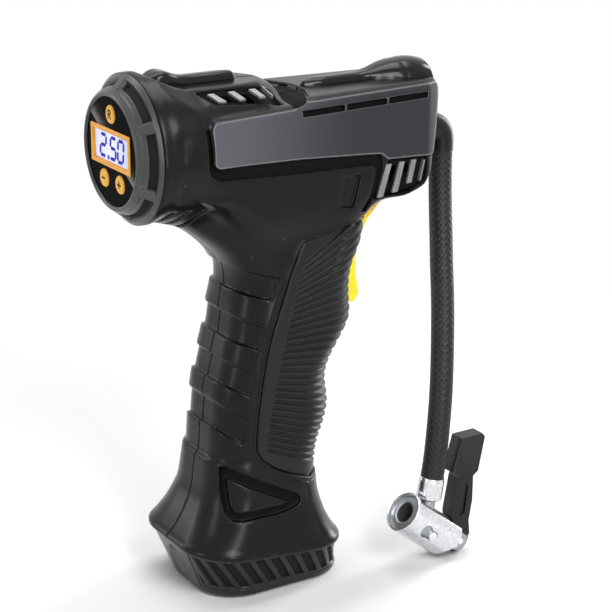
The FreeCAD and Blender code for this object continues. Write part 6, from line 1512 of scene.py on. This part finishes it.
def rounded_outline(length: float, width: float, corner: float, count: int) -> tuple[np.ndarray, np.ndarray]:
    """Points and outward directions round a rounded rectangle, from the middle of its +X side.

    Args:
        length: size along X.
        width: size along Y.
        corner: corner rounding.
        count: how many points.

    Returns:
        Points and directions, equally spaced in angle on the corners and in length on the sides.
    """
    straight_x, straight_y = length / 2 - corner, width / 2 - corner
    arc = math.pi / 2 * corner
    quarter_length = straight_x + straight_y + arc
    pieces = []
    for mark in np.linspace(0.0, 4 * quarter_length, count, endpoint=False):
        quarter, rest = divmod(mark, quarter_length)
        near, far = (straight_x, straight_y) if quarter % 2 else (straight_y, straight_x)
        facing = min(max((rest - near) / corner, 0.0), math.pi / 2)
        place = complex(far, near) + corner * complex(math.cos(facing), math.sin(facing))
        place += complex(-max(rest - near - arc, 0.0), min(rest - near, 0.0))
        turn = 1j ** int(quarter)
        outward = complex(math.cos(facing), math.sin(facing)) * turn
        place *= turn
        pieces.append((place.real, place.imag, outward.real, outward.imag))
    table = np.array(pieces)
    return table[:, :2], table[:, 2:]


@dataclass
class BaseCap:
    """Base cap with slanted flutes round its front and sides, and an oval port at its rear."""

    rim_height: float = 18.6
    rim_tilt: float = math.radians(5.8)
    rim_lip: float = 1.9
    # Upper and lower outline: length, width, corner
    top: Point = (65.6, 55.6, 17.5)
    foot: Point = (60.0, 46.0, 17.0)
    top_middle_x: float = -13.0
    foot_middle_x: float = -8.0
    foot_round: float = 1.6
    foot_inset: float = 2.8
    wall: float = 2.4
    # Flutes: their ends are shares of the way down, and height turns such shares into millimetres
    height: float = 15.0
    flute_pitch: float = 6.7
    flute_half: float = 2.2
    flute_depth: float = 1.5
    flute_slant: float = 6.0
    flute_ends: Flat = (0.04, 0.74)
    # Flutes end this far short of the middle of the rear, and run out over so much before that
    plain_rear: float = 13.0
    run_out: float = 3.0
    field_ends: Flat = (-0.02, 0.8)
    field_depth: float = 0.35
    port_half: float = 4.7
    port_tall: float = 6.5
    port_z: float = 10.6
    port_depth: float = 1.3
    port_reach: float = 15.0
    columns: int = 1000
    rows: int = 90

    def build(self) -> None:
        """Builds the cap and lets it stand for the plain one."""
        top, facing = rounded_outline(*self.top, self.columns)
        foot, _ = rounded_outline(*self.foot, self.columns)
        upper = np.column_stack((self.top_middle_x + top[:, 0] * math.cos(self.rim_tilt), top[:, 1],
                                 self.rim_height - self.rim_lip - top[:, 0] * math.sin(self.rim_tilt)))
        lower = np.column_stack((self.foot_middle_x + foot[:, 0], foot[:, 1], np.zeros(self.columns)))
        outward = np.column_stack((facing, np.zeros(self.columns)))
        share = np.linspace(0.0, 1.0, self.rows)[:, None]
        wall = upper * (1 - share[..., None]) + lower * share[..., None]
        sunk = self.relief(wall, share)
        inner_low = lower - outward * self.wall + (0.0, 0.0, self.wall)
        rings = np.concatenate((inner_low[None], (upper - outward * self.wall)[None],
                                wall - outward * sunk[..., None], (lower - outward * self.foot_inset)[None]))
        faces = ring_faces(len(rings), self.columns, closed=False)
        piece = new_piece("fluted_base", rings, faces, FLUTED_ABS)
        # Flute floors get painted shade
        set_points(piece, "deep", np.pad(smooth_step(sunk, 0.8, 1.2), ((2, 1), (0, 0))))
        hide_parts("base_cap")

    def relief(self, wall: np.ndarray, down: np.ndarray) -> np.ndarray:
        """How far the surface lies below the plain wall.

        Args:
            wall: points of the plain wall.
            down: 0 at the rim and 1 at the foot, for each row.

        Returns:
            A depth for each point.
        """
        steps = np.linalg.norm(np.diff(wall[0], axis=0, append=wall[0][:1]), axis=1)
        along = np.concatenate(([0.0], np.cumsum(steps)[:-1]))
        from_front = np.minimum(along, steps.sum() - along)
        place = from_front + self.flute_slant * (down - 0.4)
        off = np.abs((place + self.flute_pitch / 2) % self.flute_pitch - self.flute_pitch / 2)
        high, low = self.flute_ends
        ends = np.minimum(down - high, low - down) * self.height
        start = np.minimum(self.run_out, steps.sum() / 2 - self.plain_rear - from_front) - 1.5
        inside = np.minimum(np.minimum(self.flute_half - off, ends), start)
        shallow = 1.0 - 0.6 * smooth_step(down, low - 0.03, low)
        flute = self.flute_depth * smooth_step(inside, -0.1, 0.45) * shallow
        field_high, field_low = self.field_ends
        frame = np.minimum(np.minimum(down - field_high, field_low - down) * self.height, start + 1.6)
        field_cut = self.field_depth * smooth_step(frame, -0.1, 0.4)
        rounding = self.foot_round * np.clip((down - 0.9) / 0.1, 0.0, 1.0) ** 2.4
        oval = np.hypot(wall[..., 1] / self.port_half, (wall[..., 2] - self.port_z) / self.port_tall)
        at_rear = wall[..., 0] < self.top_middle_x - self.port_reach
        port = np.where(at_rear, self.port_depth * smooth_step(oval, 1.06, 0.99), 0.0)
        return np.maximum(flute, field_cut) + rounding + port


@dataclass
class Grip:
    """Rubber sleeve on the handle with its slanted ribs."""

    low: float = 42.8
    high: float = 139.1
    rows: int = 400
    side_columns: int = 44
    corner_columns: int = 16
    slot_half: float = 6.0
    slot_low: float = 101.8
    rib_count: int = 31
    rib_low: float = 57.9
    rib_pitch: float = 2.36
    # Where the lowest valley starts along the body, how much further the highest one does, and by what power
    rib_start_x: float = -14.6
    rib_start_run: float = 16.8
    rib_start_power: float = 1.3
    # Slope of the lowest valley, and what is added with a valley's share of the way up and with its square
    rib_slope: Point = (-0.42, 0.3, 0.66)
    valley_half: float = 0.62
    valley_round: float = 0.22
    valley_depth: float = 0.95
    bead: float = 1.1
    bead_dip: float = 0.55
    wall: float = 1.5

    def build(self) -> None:
        """Builds the sleeve and lets it stand for the plain one."""
        heights = np.linspace(self.low, self.high, self.rows)
        front, half, corner = (eased(heights, HANDLE[1:-1], column) for column in (2, 3, 4))
        rear = read([(z, x) for x, z in reversed(GRIP_EDGE)], heights)
        sections = [self.section(*sizes) for sizes in zip(rear, front, half, corner)]
        plan, outward = (np.array(part) for part in zip(*sections))
        plan_sunk = plan - outward * self.relief(plan[..., 0], heights[:, None], rear[:, None])[..., None]
        points = np.concatenate((plan_sunk, np.broadcast_to(heights[:, None, None], plan.shape[:2] + (1,))),
                                axis=2)
        count = plan.shape[1]
        middle = np.abs(plan[:, 1:, 1] + plan[:, :-1, 1]) / 2
        in_slot = (middle < self.slot_half) & (heights[:, None] > self.slot_low)
        faces = [(row * count + column, row * count + column + 1, (row + 1) * count + column + 1,
                  (row + 1) * count + column)
                 for row in range(self.rows - 1) for column in range(count - 1) if not in_slot[row, column]]
        piece = new_piece("ribbed_grip", points, faces, GRIP_RUBBER)
        with edited(piece.data) as work:
            loose = [vertex for vertex in work.verts if not vertex.link_faces]
            bmesh.ops.delete(work, geom=loose, context="VERTS")
        wall = piece.modifiers.new("wall", "SOLIDIFY")
        wall.thickness = self.wall * MM
        wall.offset = -1.0
        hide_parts("grip_sleeve")

    def section(self, rear: float, front: float, half: float, corner: float) -> tuple[list[Flat], list[Flat]]:
        """One section of the sleeve from its rear edge on one side, round the front, to the other.

        Args:
            rear: where the sleeve starts along the body.
            front: front of the handle.
            half: half width of the handle.
            corner: corner rounding.

        Returns:
            The points and the outward directions.
        """
        bend = front - corner
        side = [(x, -half) for x in np.linspace(min(rear, bend - 0.2), bend, self.side_columns)]
        facing = [(0.0, -1.0)] * self.side_columns
        for angle in np.linspace(-math.pi / 2, 0.0, self.corner_columns + 1)[1:]:
            side.append((bend + corner * math.cos(angle), corner - half + corner * math.sin(angle)))
            facing.append((math.cos(angle), math.sin(angle)))
        side.append((front, -self.slot_half))
        facing.append((1.0, 0.0))
        points, directions = (part + [(x, -y) for x, y in reversed(part)] for part in (side, facing))
        middle = len(side)
        points[middle:middle] = [(front, across) for across in (-3.0, 0.0, 3.0)]
        directions[middle:middle] = [(1.0, 0.0)] * 3
        return points, directions

    def rib_number(self, along: np.ndarray, height: np.ndarray) -> np.ndarray:
        """Number of the valley that passes through each point, as a fraction, found by halving."""
        low = np.full(along.shape, -8.0)
        high = np.full(along.shape, self.rib_count + 22.0)
        for _ in range(26):
            middle = (low + high) / 2
            below = self.rib_height(middle, along) < height
            low = np.where(below, middle, low)
            high = np.where(below, high, middle)
        return (low + high) / 2

    def rib_start(self, number: np.ndarray) -> np.ndarray:
        """Where a valley starts along the body."""
        share = np.clip(number / (self.rib_count - 1), 0.0, 1.2)
        return self.rib_start_x + self.rib_start_run * share ** self.rib_start_power

    def rib_height(self, number: np.ndarray, along: np.ndarray) -> np.ndarray:
        """Height of a valley at a place along the body: low ones fall to the front, high ones rise."""
        share = number / (self.rib_count - 1)
        lowest, growth, curve = self.rib_slope
        slope = lowest + growth * share + curve * np.clip(share, 0.0, 1.15) ** 2
        return self.rib_low + self.rib_pitch * number + slope * (along - self.rib_start(number))

    def relief(self, along: np.ndarray, height: np.ndarray, rear: np.ndarray) -> np.ndarray:
        """Depth of the valleys and of the bead round the sleeve.

        Args:
            along: places along the body.
            height: heights of the rows.
            rear: rear edge of the sleeve at each height.

        Returns:
            A depth for each point.
        """
        number = self.rib_number(along, height)
        nearest = np.clip(np.round(number), 0, self.rib_count - 1)
        short = np.maximum(self.rib_start(nearest) - along, 0.0)
        away = np.hypot((number - nearest) * self.rib_pitch, short)
        valley = smooth_step(away, self.valley_half + self.valley_round, self.valley_half - self.valley_round)
        inward = np.minimum(along - rear, np.minimum(height - self.low, self.high - height))
        return self.valley_depth * valley + self.bead_dip * np.clip(1 - inward / self.bead, 0.0, 1.0) ** 2


@dataclass
class Readout:
    """Figures on the screen and marks on the keys."""

    text: str = "250"
    glass_x: float = -65.02
    key_x: float = -65.72
    film: float = 0.05
    screen_rise: float = 1.2
    digit_width: float = 4.2
    digit_height: float = 7.6
    stroke: float = 1.25
    pitch: float = 5.9
    point_room: float = 0.9
    lean: float = 0.1
    # Room at a segment's ends and half size of the point, in strokes; length of a bar's tips, in half strokes
    end_room: float = 0.62
    point_half: float = 0.55
    tip: float = 0.9
    mark_stroke: float = 0.55
    mark_half: float = 1.25
    # Middles of the keys across to the reader's right and above the axis
    reset_place: Flat = (0.0, 13.3)
    minus_place: Flat = (-6.1, -10.6)
    plus_place: Flat = (6.1, -10.6)

    def build(self) -> None:
        """Builds the figures and the key marks."""
        self.figures()
        level = ((-self.mark_half, 0.0), (self.mark_half, 0.0))
        upright = ((0.0, -self.mark_half), (0.0, self.mark_half))
        bowl = [(0.1, 1.5), (0.75, 1.35), (1.0, 0.8), (0.75, 0.2), (0.1, 0.05)]
        letter = [((-0.8, -1.5), (-0.8, 1.5)), ((-0.8, 1.5), (0.1, 1.5)), ((-0.8, 0.05), (0.1, 0.05)),
                  ((0.2, 0.0), (0.95, -1.5)), *zip(bowl, bowl[1:])]
        self.key_mark("reset_letter", letter, Body.RESET, self.reset_place)
        self.key_mark("minus_mark", [level], Body.MINUS, self.minus_place)
        self.key_mark("plus_mark", [level, upright], Body.PLUS, self.plus_place)

    def segments(self, figure: str) -> list[tuple[Flat, Flat]]:
        """Ends of the lit segments of a figure, about its middle."""
        half, tall = self.digit_width / 2, self.digit_height / 2
        gap = self.stroke * self.end_room
        lit = {"2": "top, upper right, middle, lower left, foot",
               "5": "top, upper left, middle, lower right, foot",
               "0": "top, upper left, upper right, lower left, lower right, foot"}
        spans = {"top": ((gap - half, tall), (half - gap, tall)),
                 "middle": ((gap - half, 0.0), (half - gap, 0.0)),
                 "foot": ((gap - half, -tall), (half - gap, -tall))}
        for name, x in (("left", -half), ("right", half)):
            spans[f"upper {name}"] = ((x, tall - gap), (x, gap))
            spans[f"lower {name}"] = ((x, -gap), (x, gap - tall))
        return [spans[name] for name in lit[figure].split(", ")]

    def bar(self, ends: tuple[Flat, Flat], width: float) -> list[Flat]:
        """Six-cornered bar between two ends."""
        start, end = Vector(ends[0]), Vector(ends[1])
        along = (end - start).normalized() * (width / 2)
        aside = Vector((-along.y, along.x))
        point = along * self.tip
        corners = (start - point, start + aside, end + aside, end + point, end - aside, start - aside)
        return [tuple(corner) for corner in corners]

    def plate(self, name: str, outlines: list[list[Flat]], face_x: float, finish: Finish, slot: str,
              body: Body = Body.CASING) -> None:
        """Thin raised shapes on a face that looks to -X.

        Args:
            name: the piece's name.
            outlines: corners of each shape, to the reader's right and above the head axis.
            face_x: where the face lies.
            finish: the surface.
            slot: not used.
            body: what it moves with.
        """
        points, faces = [], []
        for outline in outlines:
            faces += [tuple(len(points) + corner for corner in face)
                      for face in ring_faces(2, len(outline), closed=False)]
            points += [(x, -across, HEAD_AXIS + up)
                       for x in (face_x - self.film, face_x) for across, up in outline]
        made = new_piece(name, points, faces, finish, body)
        made.data.shade_flat()
        face_outwards(made)

    def figures(self) -> None:
        """The three figures with a point after the first."""
        outlines = []
        for number, figure in enumerate(self.text):
            offset = (number - 1) * self.pitch + (self.point_room if number else -self.point_room)
            outlines += [[(offset + across + self.lean * up, self.screen_rise + up)
                          for across, up in self.bar(ends, self.stroke)] for ends in self.segments(figure)]
        dot = self.stroke * self.point_half
        x, low = 0.1 - self.pitch / 2, self.screen_rise - self.digit_height / 2
        outlines.append([(x - dot, low - dot), (x + dot, low - dot), (x + dot, low + dot),
                         (x - dot, low + dot)])
        self.plate("screen_figures", outlines, self.glass_x, DIGIT_INK, "screen")

    def key_mark(self, name: str, strokes: Sequence[tuple[Flat, Flat]], body: Body, place: Flat) -> None:
        """Prints a mark on a key.

        Args:
            name: the piece's name.
            strokes: ends of the strokes, about the key's middle.
            body: the key.
            place: middle of the key.
        """
        outlines = [[(across + place[0], up + place[1]) for across, up in self.bar(ends, self.mark_stroke)]
                    for ends in strokes]
        self.plate(name, outlines, self.key_x, MARK_INK, "keys", body)


@dataclass
class Fasteners:
    """Cross-headed screws on the far side of the casing and under the base."""

    cross_length: float = 2.6
    cross_width: float = 0.62
    cross_depth: float = 1.0
    edge_round: float = 0.12

    def build(self) -> None:
        """Cuts a cross recess into each screw head of the construction."""
        self.crossed("casing_screw_heads", "casing_screws", Vector((0.0, 1.0, 0.0)))
        self.crossed("base_screw_heads", "base_screws", Vector((0.0, 0.0, -1.0)))

    def crossed(self, name: str, node: str, outward: Vector) -> None:
        """Copies a node's screws and sinks a cross into the end of each head.

        Args:
            name: the new piece's name.
            node: node of the construction.
            outward: direction that the heads face.
        """
        mesh = bpy.data.meshes.new(name)
        work = bmesh.new()
        work.from_mesh(bpy.data.objects[node].data)
        bmesh.ops.remove_doubles(work, verts=work.verts, dist=0.002 * MM)
        heads = [group_end(group, outward) for group in islands(work)]
        work.to_mesh(mesh)
        work.free()
        made = bpy.data.objects.new(name, mesh)
        bpy.context.scene.collection.objects.link(made)
        mesh.shade_smooth()
        mesh.materials.append(PLATED_STEEL.material())
        tool = self.crosses(heads, outward)
        recess = made.modifiers.new("cross", "BOOLEAN")
        recess.operation = "DIFFERENCE"
        recess.object = tool
        recess.solver = "MANIFOLD"
        bpy.context.view_layer.update()
        cut = bpy.data.meshes.new_from_object(made.evaluated_get(bpy.context.evaluated_depsgraph_get()))
        made.modifiers.clear()
        made.data = cut
        bpy.data.objects.remove(tool)
        bevel = made.modifiers.new("rounding", "BEVEL")
        bevel.width = self.edge_round * MM
        bevel.angle_limit = math.radians(40)
        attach(made, Body.CASING.value)
        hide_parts(node)
        LOG.info("piece %s: %d screws", name, len(heads))

    def crosses(self, heads: list[Vector], outward: Vector) -> bpy.types.Object:
        """Two crossed bars at the middle of every head, half of them inside it."""
        mesh = bpy.data.meshes.new("cross_tool")
        turn = outward.to_track_quat("Z", "Y").to_matrix().to_4x4()
        with edited(mesh) as work:
            for head in heads:
                for sides in ((self.cross_length, self.cross_width), (self.cross_width, self.cross_length)):
                    size = Matrix.Diagonal((*(side * MM for side in sides), 2 * self.cross_depth * MM, 1.0))
                    bmesh.ops.create_cube(work, size=1.0, matrix=Matrix.Translation(head) @ turn @ size)
        tool = bpy.data.objects.new("cross_tool", mesh)
        bpy.context.scene.collection.objects.link(tool)
        return tool


def islands(work: bmesh.types.BMesh) -> list[list[bmesh.types.BMVert]]:
    """Groups the points of a mesh by the loose piece that they belong to, in the order of the mesh."""
    known = set()
    groups = []
    for first in work.verts:
        if first in known:
            continue
        group = [first]
        known.add(first)
        for vertex in group:
            found = [edge.other_vert(vertex) for edge in vertex.link_edges]
            new = [other for other in found if other not in known]
            known.update(new)
            group += new
        groups.append(group)
    return groups


def group_end(group: list[bmesh.types.BMVert], outward: Vector) -> Vector:
    """Middle of a loose piece's outermost face in one direction."""
    reach = max(vertex.co.dot(outward) for vertex in group)
    ends = [vertex.co for vertex in group if vertex.co.dot(outward) > reach - 0.01 * MM]
    return sum(ends, Vector()) / len(ends)


def main() -> None:
    """Builds the studio, the hose and every other piece in order."""
    logging.basicConfig(level=logging.INFO, format="%(name)s %(message)s")
    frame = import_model()
    bpy.context.scene.view_settings.view_transform = "Standard"
    Studio().build()
    Hose().build()
    dress_construction(frame["nodes"])
    for part in (Casing(), Bezel(), Trim(), VentStrips(), BaseCap(), Grip(), Readout(), Fasteners()):
        part.build()


if __name__ == "__main__":
    main()
